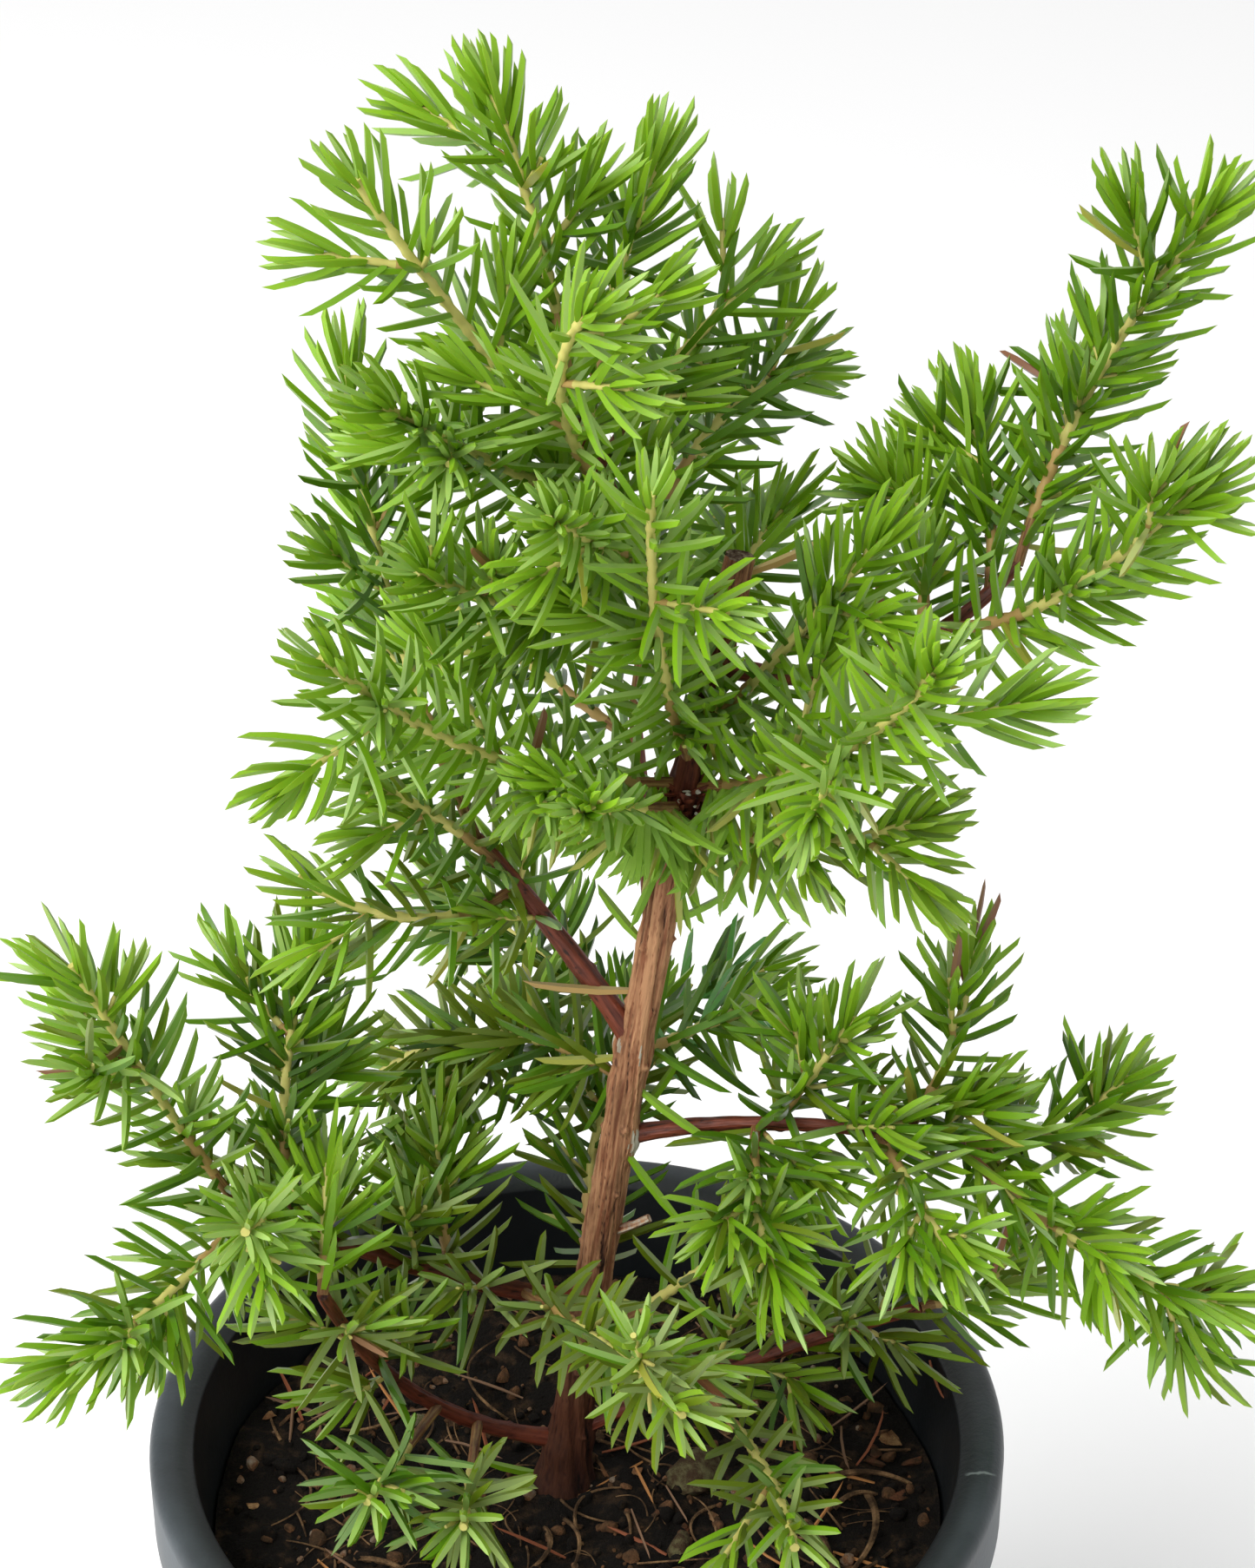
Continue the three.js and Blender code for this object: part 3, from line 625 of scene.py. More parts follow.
@cache
def crumb_pattern(seed):
    """A small lump of soil."""
    bm = bmesh.new()
    bmesh.ops.create_icosphere(bm, subdivisions=2, radius=1)
    roughen(bm, 0.42, 0.9, seed * 5.3)
    return Pattern(bm)


CHIP_POINTS = 13


def chip_pattern(seed):
    """A broken chip of bark: the hull of a few points, with its faces roughened."""
    random = seeded_numbers(seed)
    bm = bmesh.new()
    for _ in range(CHIP_POINTS):
        point = Vector([2 * random() - 1 for _ in range(3)]).normalized()
        bm.verts.new(point * (0.8 + 0.4 * random()))
    hull = bmesh.ops.convex_hull(bm, input=bm.verts[:])
    inside = [item for item in hull["geom_interior"] if isinstance(item, bmesh.types.BMVert)]
    bmesh.ops.delete(bm, geom=inside, context="VERTS")
    bmesh.ops.subdivide_edges(bm, edges=bm.edges[:], cuts=1, use_grid_fill=True)
    roughen(bm, 0.16, 2.1, seed * 3.7)
    bmesh.ops.recalc_face_normals(bm, faces=bm.faces[:])
    return Pattern(bm)


# Numbers that are the same on every run, and directions


def seeded_numbers(seed):
    """Numbers from 0 to 1 by the rule that the solids use."""
    state = seed

    def number():
        nonlocal state
        state = (state * 1664525 + 1013904223) & 0xFFFFFFFF
        return state / 2 ** 32

    return number


def spread(least, random):
    return least + 2 * (1 - least) * random()


def mix(a, b, share):
    return a + (b - a) * share


def blended(a, b, share):
    return [mix(x, y, share) for x, y in zip(a, b)]


def smooth_step(value, low, high):
    share = np.clip((value - low) / (high - low), 0, 1)
    return share * share * (3 - 2 * share)


def unit(vector):
    return vector / np.linalg.norm(vector)


def towards(heading, rise):
    level = math.cos(math.radians(rise))
    turn = math.radians(heading)
    return np.array([level * math.cos(turn), level * math.sin(turn), math.sin(math.radians(rise))])


def square_to(tangent):
    side = np.cross(UP, tangent)
    return unit(side) if side @ side > 1e-6 else np.array([1.0, 0.0, 0.0])


def turned(vector, axis, degrees):
    c, s = math.cos(math.radians(degrees)), math.sin(math.radians(degrees))
    return vector * c + np.cross(axis, vector) * s + axis * (axis @ vector) * (1 - c)


def leaving(tangent, angle, turn):
    """A direction that leaves the tangent by one angle and is turned round it by another."""
    side = turned(square_to(tangent), tangent, turn)
    return side * math.sin(math.radians(angle)) + tangent * math.cos(math.radians(angle))


class Limb:
    """A limb bent once along its length, with a radius at its foot and at its tip."""

    def __init__(self, start, middle, end, radius, tip_radius):
        self.start, self.middle, self.end = start, middle, end
        self.radius, self.tip_radius = radius, tip_radius
        self.length = float(np.linalg.norm(end - start))

    @classmethod
    def off(cls, parent, row, radius, tip_radius):
        start = parent.point(row.at)
        end = start + towards(row.heading, row.rise) * row.length
        middle = (start + end) / 2 + UP * row.arch * row.length
        middle = middle + towards(row.heading + 90, 0) * row.sway * row.length
        return cls(start, middle, end, radius, tip_radius)

    @classmethod
    def straight(cls, start, end, radius, tip_radius):
        return cls(start, (start + end) / 2, end, radius, tip_radius)

    def cut(self, share):
        """The limb from its foot to a share of its length."""
        middle = mix(self.start, self.middle, share)
        return Limb(self.start, middle, self.point(share), self.radius, self.tip_radius)

    def point(self, share):
        t = np.asarray(share, float)[..., None]
        return (1 - t) ** 2 * self.start + 2 * (1 - t) * t * self.middle + t ** 2 * self.end

    def tangent(self, share):
        t = np.asarray(share, float)[..., None]
        slope = (1 - t) * (self.middle - self.start) + t * (self.end - self.middle)
        return slope / np.linalg.norm(slope, axis=-1, keepdims=True)

    def radius_at(self, share):
        return mix(self.radius, self.tip_radius, share)

    def surface(self, share, heading, out=0.0):
        """A place on the side that looks one way, or out from it."""
        return self.point(share) + towards(heading, 0) * (self.radius_at(share) + out)

    def skin(self, pattern, radius, level_foot=False):
        """A tube pattern's places bent along the limb, each at its own radius."""
        share = pattern.places[:, 2]
        steps = np.unique(np.round(share, 6))
        tangents = self.tangent(steps)
        if level_foot:
            tangents[0] = UP
        sides = [square_to(self.tangent(0.0))]
        for tangent in tangents:
            side = sides[-1] - (sides[-1] @ tangent) * tangent
            sides.append(unit(side))
        sides = np.array(sides[1:])
        across = np.cross(sides, tangents)
        ring = np.searchsorted(steps, np.round(share, 6))
        x, y = pattern.places[:, :1], pattern.places[:, 1:2]
        return self.point(share) + radius[:, None] * (sides[ring] * x - across[ring] * y)


class TrunkLimb(Limb):
    """The trunk, whose foot flares out on the soil."""

    def radius_at(self, share):
        rise = share * (TRUNK_TOP_LEVEL - SOIL_LEVEL)
        return mix(self.radius, self.tip_radius, share) + FLARE * np.exp(-rise / FLARE_HEIGHT)


@cache
def all_limbs():
    """The trunk, boughs and stems, by name."""
    foot = np.array([*TRUNK_FOOT, SOIL_LEVEL])
    top = np.array([*TRUNK_TOP, TRUNK_TOP_LEVEL])
    middle = (foot + top) / 2 + np.array([TRUNK_BOW, 0.0, 0.0])
    trunk = TrunkLimb(foot, middle, top, TRUNK_FOOT_RADIUS, TRUNK_TOP_RADIUS)
    limbs = {"trunk": trunk}
    for name, row in BOUGHS.items():
        limbs[name] = Limb.off(trunk, row, row.radius, BOUGH_TIP_SHARE * row.radius)
    for carrier, stems in STEMS.items():
        for name, row in stems.items():
            limbs[name] = Limb.off(limbs[carrier], row, STEM_RADIUS, STEM_TIP_RADIUS)
    return limbs


# Room: every limb and twig is kept as a line with a radius, under its mass's name


def inner_radius(level):
    return POT_BASE_RADIUS - WALL + (RIM_RADIUS - LIP_WIDTH - POT_BASE_RADIUS + WALL) * level / POT_HEIGHT


def is_off_pot(point, margin):
    if point[2] > POT_HEIGHT + margin:
        return True
    out = math.hypot(point[0], point[1])
    above_soil = point[2] > SOIL_LEVEL + 2 * SOIL_BUMP + margin
    return (out < inner_radius(point[2]) - margin and above_soil) or out > RIM_RADIUS + margin


class Room:
    def __init__(self):
        self.rows, self.owners, self.arrays = [], [], None

    def take(self, owner, start, end, radius):
        self.rows.append((*start, *end, radius))
        self.owners.append(owner)
        self.arrays = None

    def take_limb(self, owner, limb, pieces):
        for i in range(pieces):
            self.take(owner, limb.point(i / pieces), limb.point((i + 1) / pieces), limb.radius_at(i / pieces))

    def is_free(self, owner, start, end, radius):
        """Whether a line keeps the gap from every other owner's lines, and its end from the pot and soil."""
        if not is_off_pot(end, radius + GAP):
            return False
        if self.arrays is None:
            self.arrays = np.array(self.rows), np.array(self.owners)
        rows, owners = self.arrays
        c, d, radii = rows[:, 0:3], rows[:, 3:6], rows[:, 6]
        u, v, w = end - start, d - c, start - c
        uu, uv, vv = u @ u, v @ u, np.einsum("ij,ij->i", v, v)
        uw, vw = w @ u, np.einsum("ij,ij->i", v, w)
        slant = uu * vv - uv * uv
        s = np.where(slant > 1e-9, np.clip((uv * vw - vv * uw) / np.maximum(slant, 1e-9), 0, 1), 0)
        t = np.clip((uv * s + vw) / vv, 0, 1)
        s = np.clip((uv * t - uw) / uu, 0, 1)
        apart = np.linalg.norm(w + s[:, None] * u - t[:, None] * v, axis=1)
        return not np.any((apart <= radius + radii + GAP) & (owners != owner))


# Bare wood that shows between the needles: a share of the trunk, and how far round it is kept clear
BARE_PLACES = [(0.766, 3.0), (0.985, 3.4)]
BARE_WAY = 22.0 * towards(-90, 38)


def is_clear(root, end):
    """Whether a twig or needle keeps off the places where the bare wood shows."""
    for at, radius in BARE_PLACES:
        start = all_limbs()["trunk"].point(at)
        for share in (0.3, 0.6, 1.0):
            point = mix(root, end, share)
            along = np.clip((point - start) @ BARE_WAY / (BARE_WAY @ BARE_WAY), 0, 1)
            if np.linalg.norm(point - start - along * BARE_WAY) < radius:
                return False
    return True


# A stem (rank 0), twig (1) or sprig (2), with needles from a share of its length on
Shoot = namedtuple("Shoot", "limb bare rank")


class Spray:
    """The foliage on one stem or bough: its shoots, and the numbers that it is grown by."""

    def __init__(self, name, carrier, stem, seed):
        self.name, self.carrier, self.stem = name, carrier, stem
        self.random = seeded_numbers(SEED_STEP * seed)
        self.is_mass = name != carrier
        self.leaves_from = LEAVES_FROM.get(name, USUAL_LEAVES_FROM)
        self.ends_at = ENDS_AT.get(name, 1.0)
        self.shoots = [Shoot(stem.cut(self.ends_at), self.leaves_from, 0)] if self.is_mass else []


def add_twigs(spray, room):
    """The twigs that the solids have, by the same numbers in the same order."""
    stem, random, length = spray.stem, spray.random, spray.stem.length
    count = max(1, round(length / TWIG_SPACING))
    first_turn = 360 * random()
    for i in range(count):
        share = TWIG_FIRST + TWIG_SPAN * (i + random()) / count
        reach = (TWIG_BASE_LENGTH + TWIG_SHARE * length) * spread(TWIG_SHORTEST, random)
        direction = leaving(stem.tangent(share), TWIG_ANGLE, first_turn + GOLDEN_ANGLE * i)
        start = stem.point(share)
        end = start + direction * reach
        if room.is_free(spray.name, mix(start, end, STEM_RADIUS / reach), end, TWIG_RADIUS):
            room.take(spray.name, start, end, TWIG_RADIUS)
            if spray.leaves_from + 0.1 < share < spray.ends_at and is_clear(start, end):
                spray.shoots.append(Shoot(Limb.straight(start, end, TWIG_RADIUS, TWIG_TIP_RADIUS), 0.12, 1))


def add_side_shoots(spray, limb, room, rank, spacing, length, first):
    """Finer shoots along a limb, which the solids leave out."""
    random = spray.random
    count = round(limb.length * (SIDE_LAST - first) / spacing)
    turn = 360 * random()
    for i in range(count):
        share = mix(first, SIDE_LAST, (i + random()) / count)
        tangent = limb.tangent(share)
        reach = length * spread(SIDE_SHORTEST, random) * mix(*SIDE_LENGTHS, share)
        angle = SIDE_ANGLE + SIDE_ANGLE_SPREAD * (random() - 0.5)
        start = limb.point(share)
        end = start + leaving(tangent, angle, turn + GOLDEN_ANGLE * i) * reach
        if room.is_free(spray.name, mix(start, end, 0.25), end, SIDE_RADIUS):
            room.take(spray.name, start, end, SIDE_RADIUS)
            middle = (start + end) / 2 - tangent * SIDE_CURVE * reach
            if is_clear(start, end):
                side = Limb(start, middle, end, SIDE_RADIUS, SIDE_TIP_RADIUS)
                spray.shoots.append(Shoot(side, 0.15, rank))


def grow(look):
    """All the sprays: stems first, then the solids' twigs, then the finer ones. Also the limbs' room."""
    limbs = all_limbs()
    limb_room, room = Room(), Room()
    limb_room.take_limb("trunk", limbs["trunk"], TRUNK_PIECES)
    for name in BOUGHS:
        limb_room.take_limb(name, limbs[name], BOUGH_PIECES)
    room.rows, room.owners = list(limb_room.rows), list(limb_room.owners)
    sprays = []
    for carrier, stems in STEMS.items():
        for name in stems:
            room.take_limb(name, limbs[name], STEM_PIECES)
            sprays.append(Spray(name, carrier, limbs[name], len(sprays) + 1))
    for spray in sprays:
        add_twigs(spray, room)
    boughs = [Spray(name, name, limbs[name], len(sprays) + i) for i, name in enumerate(BOUGHS)]
    for spray in boughs:
        first = BOUGHS[spray.name].bare
        add_side_shoots(spray, spray.stem, room, 1, look.twig_spacing / MM, look.twig_length / MM, first)
    sprays += boughs
    for spray in sprays:
        first = spray.leaves_from + 0.06
        apart = SPRIG_ROOM.get(spray.name, SPRIG_ROOM.get(spray.carrier, 1.0))
        spacing, length = apart * look.sprig_spacing / MM, look.sprig_length / MM
        for shoot in list(spray.shoots):
            if shoot.rank == 0 or apart <= MOST_ROOM_FOR_TWIGS:
                start = first if shoot.rank == 0 else SPRIGS_FROM
                add_side_shoots(spray, shoot.limb, room, 2, spacing, length, start)
    return sprays, limb_room


MOST_IN_GROUP = 6


def spray_groups(sprays):
    """The sprays of each carrying limb, in groups small enough for one piece each."""
    for carrier in STEMS:
        carried = [spray for spray in sprays if spray.carrier == carrier]
        for first in range(0, len(carried), MOST_IN_GROUP):
            number = f"_{first // MOST_IN_GROUP + 1}" if len(carried) > MOST_IN_GROUP else ""
            yield carrier + number, carried[first:first + MOST_IN_GROUP]


# Materials


class Nodes:
    """Adds nodes to a tree. Each input is given a plain value, or a socket that it is linked to."""

    def __init__(self, tree):
        self.tree = tree

    def feed(self, socket, value):
        if isinstance(value, bpy.types.NodeSocket):
            self.tree.links.new(value, socket)
        elif value is not None:
            socket.default_value = value

    def add(self, kind, *inputs, label="", **values):
        """A node's outputs. Its inputs are given in their order, or by name as its settings are."""
        node = self.tree.nodes.new("ShaderNode" + kind)
        node.label = label
        for key, value in values.items():
            if hasattr(node, key):
                setattr(node, key, value)
            else:
                self.feed(node.inputs[key.replace("_", " ")], value)
        for socket, value in zip(node.inputs, inputs):
            self.feed(socket, value)
        return node.outputs

    def mixed(self, factor, a, b, label="", blend="MIX"):
        """Two colours mixed by a factor."""
        return self.add("Mix", factor, *[None] * 5, a, b, label=label, data_type="RGBA", blend_type=blend)[2]

    def ranged(self, value, low, high, start=0.0, end=1.0, kind="LINEAR"):
        """A value from low to high, brought to the range from start to end."""
        return self.add("MapRange", value, low, high, start, end, interpolation_type=kind)[0]

    def times(self, a, b):
        return self.add("Math", a, b, operation="MULTIPLY")[0]

    def placed(self, group, label, along_grain=False, **values):
        """A node group on Object coordinates or along the grain, with its values by socket name."""
        if along_grain:
            place = self.add("Attribute", attribute_name="grain")["Vector"]
        else:
            place = self.add("TexCoord")["Object"]
        return self.add("Group", label=label, node_tree=group, Place=place, **values)

    def mottle(self, label, a, b, scale, low, high, stretch=1.0, along_grain=False):
        """Patches of two colours, given as they look on the screen."""
        return self.placed(
            mottle_group(), label, along_grain, Colour_A=linear(a), Colour_B=linear(b), Scale=scale,
            Stretch=stretch, Low=low, High=high)

    def shade(self, **values):
        """Feeds the inputs of the material's own shader."""
        shader = next(n for n in self.tree.nodes if n.type == "BSDF_PRINCIPLED")
        for key, value in values.items():
            self.feed(shader.inputs[key.replace("_", " ")], value)

    def bump(self, height, strength, distance):
        self.shade(Normal=self.add("Bump", Height=height, Strength=strength, Distance=distance)[0])


def new_group(name, inputs, outputs, **texture):
    """A node group with named sockets over noise that may be stretched along Z, and what fills it."""
    tree = bpy.data.node_groups.new(name, "ShaderNodeTree")
    shared = [("Place", "Vector", (0, 0, 0)), ("Scale", "Float", 100.0), ("Stretch", "Float", 1.0)]
    for socket, kind, default in shared + inputs:
        made = tree.interface.new_socket(socket, in_out="INPUT", socket_type="NodeSocket" + kind)
        made.default_value = default
    for socket, kind in outputs:
        tree.interface.new_socket(socket, in_out="OUTPUT", socket_type="NodeSocket" + kind)
    given, nodes = tree.nodes.new("NodeGroupInput").outputs, Nodes(tree)
    squash = nodes.add("CombineXYZ", 1.0, 1.0, given["Stretch"])[0]
    scaled = nodes.add("VectorMath", given["Place"], squash, operation="MULTIPLY")[0]
    cloud = nodes.add("TexNoise", scaled, Scale=given["Scale"], **texture)["Fac"]
    return nodes, given, tree.nodes.new("NodeGroupOutput").inputs, cloud


def mottle_group():
    """Two colours in patches, which may be stretched along Z."""
    if "Mottle" not in bpy.data.node_groups:
        inputs = [
            ("Colour A", "Color", (0, 0, 0, 1)), ("Colour B", "Color", (1, 1, 1, 1)),
            ("Low", "Float", 0.4), ("High", "Float", 0.6),
        ]
        nodes, given, result, cloud = new_group(
            "Mottle", inputs, [("Colour", "Color"), ("Mask", "Float")], Detail=5.0, Roughness=0.6)
        mask = nodes.ranged(cloud, given["Low"], given["High"], kind="SMOOTHSTEP")
        nodes.feed(result["Colour"], nodes.mixed(mask, given["Colour A"], given["Colour B"]))
        nodes.feed(result["Mask"], mask)
    return bpy.data.node_groups["Mottle"]


def grain_group():
    """Fine lines along Z, as a height."""
    if "Grain" not in bpy.data.node_groups:
        nodes, _, result, cloud = new_group("Grain", [], [("Height", "Float")], Detail=3.0)
        nodes.feed(result["Height"], cloud)
    return bpy.data.node_groups["Grain"]


def new_material(name, **values):
    """A fresh material with its shader's plain values set, and its nodes."""
    old = bpy.data.materials.get(name)
    if old:
        bpy.data.materials.remove(old)
    material = bpy.data.materials.new(name)
    material.use_nodes = True
    nodes = Nodes(material.node_tree)
    nodes.shade(**values)
    return material, nodes


# Painted shade on the pot's inner wall over the soil: how far out from the lip's inner edge it fades, and
# from what height under the soil's level it shows
SHADOW_FADE = (0.3, 4.2)
SHADOW_DEPTHS = (4, 2)


def shadowed_wall(nodes, place):
    """A mask for the painted shade that is 1 on the inner wall, from just under the soil up, and 0 outside
    the lip.
    """
    flat = nodes.add("VectorMath", place, (1, 1, 0), operation="MULTIPLY")[0]
    out = nodes.add("VectorMath", flat, operation="LENGTH")["Value"]
    full, none = ((inner_radius(POT_HEIGHT) + fade) * MM for fade in SHADOW_FADE)
    low, high = ((SOIL_LEVEL - depth) * MM for depth in SHADOW_DEPTHS)
    height = nodes.add("SeparateXYZ", place)["Z"]
    return nodes.times(nodes.ranged(out, none, full, kind="SMOOTHSTEP"), nodes.ranged(height, low, high))


# The scratch across the lip: its middle, which way it runs, how far it wavers, and its width and length
SCRATCH_PLACE = (53.6, -10.7)
SCRATCH_HEADING = -12.0
SCRATCH_WAVER = 0.8
SCRATCH_WIDTHS = (0.35, 0.1)
SCRATCH_LENGTH = 4.4


def scratch_line(nodes, place):
    """A mask for the thin scratch across the lip, wavering a little."""
    moved = nodes.add(
        "Mapping", place, (SCRATCH_PLACE[0] * MM, SCRATCH_PLACE[1] * MM, 0),
        (0, 0, math.radians(SCRATCH_HEADING)), vector_type="TEXTURE")[0]
    split = nodes.add("SeparateXYZ", moved)
    waver = nodes.add("TexNoise", place, Scale=900.0, Detail=1.0)["Fac"]
    shift = nodes.add("Math", waver, SCRATCH_WAVER * MM, split["Y"], operation="MULTIPLY_ADD")[0]
    off = nodes.add("Math", shift, operation="ABSOLUTE")[0]
    run = nodes.add("Math", split["X"], operation="ABSOLUTE")[0]
    thin = nodes.ranged(off, *(width * MM for width in SCRATCH_WIDTHS), 0.0, 0.7)
    short = nodes.ranged(run, *(share * SCRATCH_LENGTH * MM for share in (0.5, 0.3)))
    return nodes.times(thin, short)


def pot_material(look):
    """Dull dark plastic: mottled, lighter on its sides with dust and painted sheen, with painted shade on its
    inner wall and a fine moulded texture.
    """
    material, nodes = new_material("pot_plastic")
    place = nodes.add("TexCoord")["Object"]
    patches = nodes.mottle("Patches", look.plastic_dark, look.plastic, 70.0, 0.3, 0.6)["Colour"]
    smears = nodes.mottle("Smears", BLACK, WHITE, 60.0, 0.3, 0.8, 0.6)["Mask"]
    upward = nodes.add("SeparateXYZ", nodes.add("NewGeometry")["Normal"])["Z"]
    # Sideways faces lighter than the top: partly real dust, partly painted sheen where light falls on the
    # sides
    dust_and_sheen = nodes.times(nodes.ranged(upward, 0.1, 0.9, 1.0, 0.3), smears)
    colour = nodes.mixed(nodes.times(dust_and_sheen, look.dust_and_sheen_amount), patches, linear(look.dust))
    # Painted shade darkens the inner wall and the inner part of the lip over the soil
    colour = nodes.mixed(shadowed_wall(nodes, place), colour, linear(look.shadowed), "Damp wall")
    colour = nodes.mixed(scratch_line(nodes, place), colour, linear(look.scratch), "Scratch")
    nodes.shade(Base_Color=colour, Roughness=nodes.ranged(smears, 0.0, 1.0, 0.38, 0.6))
    nodes.bump(nodes.add("TexNoise", place, Scale=1600.0, Detail=2.0)["Fac"], 0.25, 0.0002)
    return material


def earth_material(name, dark, light, scale, low=0.38, high=0.72, bump=0.0006):
    """Rough matter in two browns, such as soil, crumbs and chips."""
    material, nodes = new_material(name, Roughness=0.95, Specular_IOR_Level=0.25)
    nodes.shade(Base_Color=nodes.mottle("Patches", dark, light, scale, low, high)["Colour"])
    nodes.bump(nodes.mottle("Grit", BLACK, WHITE, 6 * scale, 0.2, 0.8)["Mask"], 0.7, bump)
    return material


# Shade of the darker patches of bark, against the lighter ones, and the scale of the lines along a limb
PATCH_SHADE = (0.74, 0.7, 0.68)
LINE_SCALE = 2300.0


def bark_material(name, ridge, mid, crack, roughness, tints=()):
    """Bark whose colour follows the relief in its mesh, with lighter and darker lines along its limb.

    Each tint is a height in millimetres with the colour that the bark is multiplied by there.
    """
    material, nodes = new_material(name, Roughness=roughness, Specular_IOR_Level=0.35)
    relief = nodes.add("Attribute", attribute_name="relief")["Fac"]
    raised = nodes.ranged(relief, 0.0, 0.5, 0.0, 0.8, "SMOOTHSTEP")
    whole = nodes.ranged(relief, -0.85, -0.2, kind="SMOOTHSTEP")
    lines = nodes.mottle("Lines", mid, ridge, LINE_SCALE, 0.3, 0.72, 0.05, True)["Colour"]
    patches = nodes.mottle("Patches", PATCH_SHADE, WHITE, 0.16 * LINE_SCALE, 0.3, 0.55, 0.35, True)["Colour"]
    colour = nodes.mixed(whole, linear(crack), nodes.mixed(raised, lines, linear(ridge)))
    colour = nodes.mixed(1.0, colour, patches, blend="MULTIPLY")
    if tints:
        low, high = tints[0][0], tints[-1][0]
        height = nodes.add("SeparateXYZ", nodes.add("TexCoord")["Object"])["Z"]
        share = nodes.ranged(height, low * MM, high * MM)
        tint = nodes.add("ValToRGB", share, label="Tint by height")["Color"]
        stops = tint.node.color_ramp.elements
        while len(stops) < len(tints):
            stops.new(0.5)
        for stop, (level, shade) in zip(stops, tints):
            stop.position = (level - low) / (high - low)
            stop.color = linear(shade)
        colour = nodes.mixed(1.0, colour, tint, blend="MULTIPLY")
    nodes.shade(Base_Color=colour)
    fibres = nodes.placed(grain_group(), "Fibres", True, Scale=1.4 * LINE_SCALE, Stretch=0.06)["Height"]
    nodes.bump(fibres, 0.6, 0.0003)
    return material


def leaf_material(name, colour, roughness=0.42, glow=0.0):
    """A plain leaf colour, with light let through where it is young."""
    return new_material(
        name, Base_Color=linear(colour), Roughness=roughness, Specular_IOR_Level=0.36, Subsurface_Weight=glow,
        Subsurface_Scale=0.001)[0]


# Pieces


def spun_mesh(name, profile, segments, shape=None):
    """A closed outline from the axis and back to it, turned all the way round."""
    bm = bmesh.new()
    verts = [bm.verts.new((x * MM, 0, z * MM)) for x, z in profile]
    edges = [bm.edges.new(pair) for pair in zip(verts, verts[1:])]
    bmesh.ops.spin(
        bm, geom=verts + edges, axis=(0, 0, 1), cent=(0, 0, 0), steps=segments, angle=2 * math.pi,
        use_merge=True)
    bmesh.ops.remove_doubles(bm, verts=bm.verts[:], dist=1e-6)
    if shape:
        shape(bm)
    bmesh.ops.recalc_face_normals(bm, faces=bm.faces[:])
    mesh = mesh_from(bm, name)
    mesh.shade_smooth()
    mesh.set_sharp_from_angle(angle=math.radians(35))
    return mesh


def arc(x, y, radius, start, end, steps):
    turns = [math.radians(mix(start, end, i / steps)) for i in range(steps + 1)]
    return [(x + radius * math.cos(turn), y + radius * math.sin(turn)) for turn in turns]


def pot_profile(look):
    """The pot's outline, from the middle of its underside round to the middle of its floor."""
    skirt_foot, lip_under = POT_HEIGHT - SKIRT_HEIGHT, POT_HEIGHT - WALL
    lip_round, lip_roll = look.lip_round / MM, look.lip_roll / MM
    lip_top = RIM_RADIUS - lip_round
    turn = math.acos((LIP_WIDTH - lip_round - LIP_EDGE) / (lip_roll - LIP_EDGE))
    edge_level = POT_HEIGHT - lip_roll + (lip_roll - LIP_EDGE) * math.sin(turn)
    edge_turn = 180 - math.degrees(turn)
    return [
        (0, 0.6), (DRAIN_CIRCLE + 6, 0.6), (DRAIN_CIRCLE + 6.6, 0),
        *arc(POT_BASE_RADIUS - 1, 1, 1, -90, 0, 4),
        (inner_radius(skirt_foot) + WALL, skirt_foot),
        (inner_radius(lip_under) + WALL, lip_under - 0.6),
        (inner_radius(lip_under) + WALL + 0.6, lip_under),
        (RIM_RADIUS - WALL - 1, lip_under),
        (RIM_RADIUS - WALL, lip_under - 1),
        (RIM_RADIUS - WALL, skirt_foot + 0.3),
        (RIM_RADIUS - WALL + 0.3, skirt_foot),
        (RIM_RADIUS - 0.4, skirt_foot),
        (RIM_RADIUS, skirt_foot + 0.4),
        *arc(lip_top, POT_HEIGHT - lip_round, lip_round, 0, 90, 8),
        *arc(lip_top, POT_HEIGHT - lip_roll, lip_roll, 90, edge_turn, 8)[1:],
        *arc(RIM_RADIUS - LIP_WIDTH + LIP_EDGE, edge_level, LIP_EDGE, edge_turn, 180, 4)[1:],
        (inner_radius(FLOOR + 1), FLOOR + 1),
        (inner_radius(FLOOR) - 1, FLOOR),
        (0, FLOOR),
    ]


DRILL_SEGMENTS = 32


class JUNIPER_OT_pot(Operator):
    """Turn the pot, with its lip, skirt, ledge and drain holes"""

    bl_idname = "juniper.pot"
    bl_label = "Pot"

    def execute(self, context):
        look = context.scene.juniper_pot
        mesh = spun_mesh("pot_shell", pot_profile(look), look.segments)
        piece = add_piece("pot_shell", mesh, [pot_material(look)], "pot_plastic", "pot")
        bm = bmesh.new()
        for i in range(DRAIN_HOLES):
            turn = 2 * math.pi * i / DRAIN_HOLES
            place = Vector((DRAIN_CIRCLE * math.cos(turn), DRAIN_CIRCLE * math.sin(turn), 0)) * MM
            bmesh.ops.create_cone(
                bm, cap_ends=True, segments=DRILL_SEGMENTS, radius1=DRAIN_RADIUS * MM,
                radius2=DRAIN_RADIUS * MM, depth=6 * FLOOR * MM, matrix=Matrix.Translation(place))
        drill = new_object("drill", mesh_from(bm, "drill"))
        cut = piece.modifiers.new("drain_holes", "BOOLEAN")
        cut.object, cut.solver = drill, "EXACT"
        context.view_layer.update()
        drilled = bpy.data.meshes.new_from_object(piece.evaluated_get(context.evaluated_depsgraph_get()))
        piece.modifiers.clear()
        piece.data = drilled
        bpy.data.objects.remove(drill)
        bpy.data.meshes.remove(mesh)
        return {"FINISHED"}


# Width and strength of the soil's three sizes of lump, and the noise's level for each. Then the height and
# the spread of the rise round the trunk
LUMPS = [(13, 1.0, 3.1), (4.5, 0.55, 7.7), (1.7, 0.3, 1.3)]
TRUNK_MOUND = 0.7
MOUND_SPREAD = 60


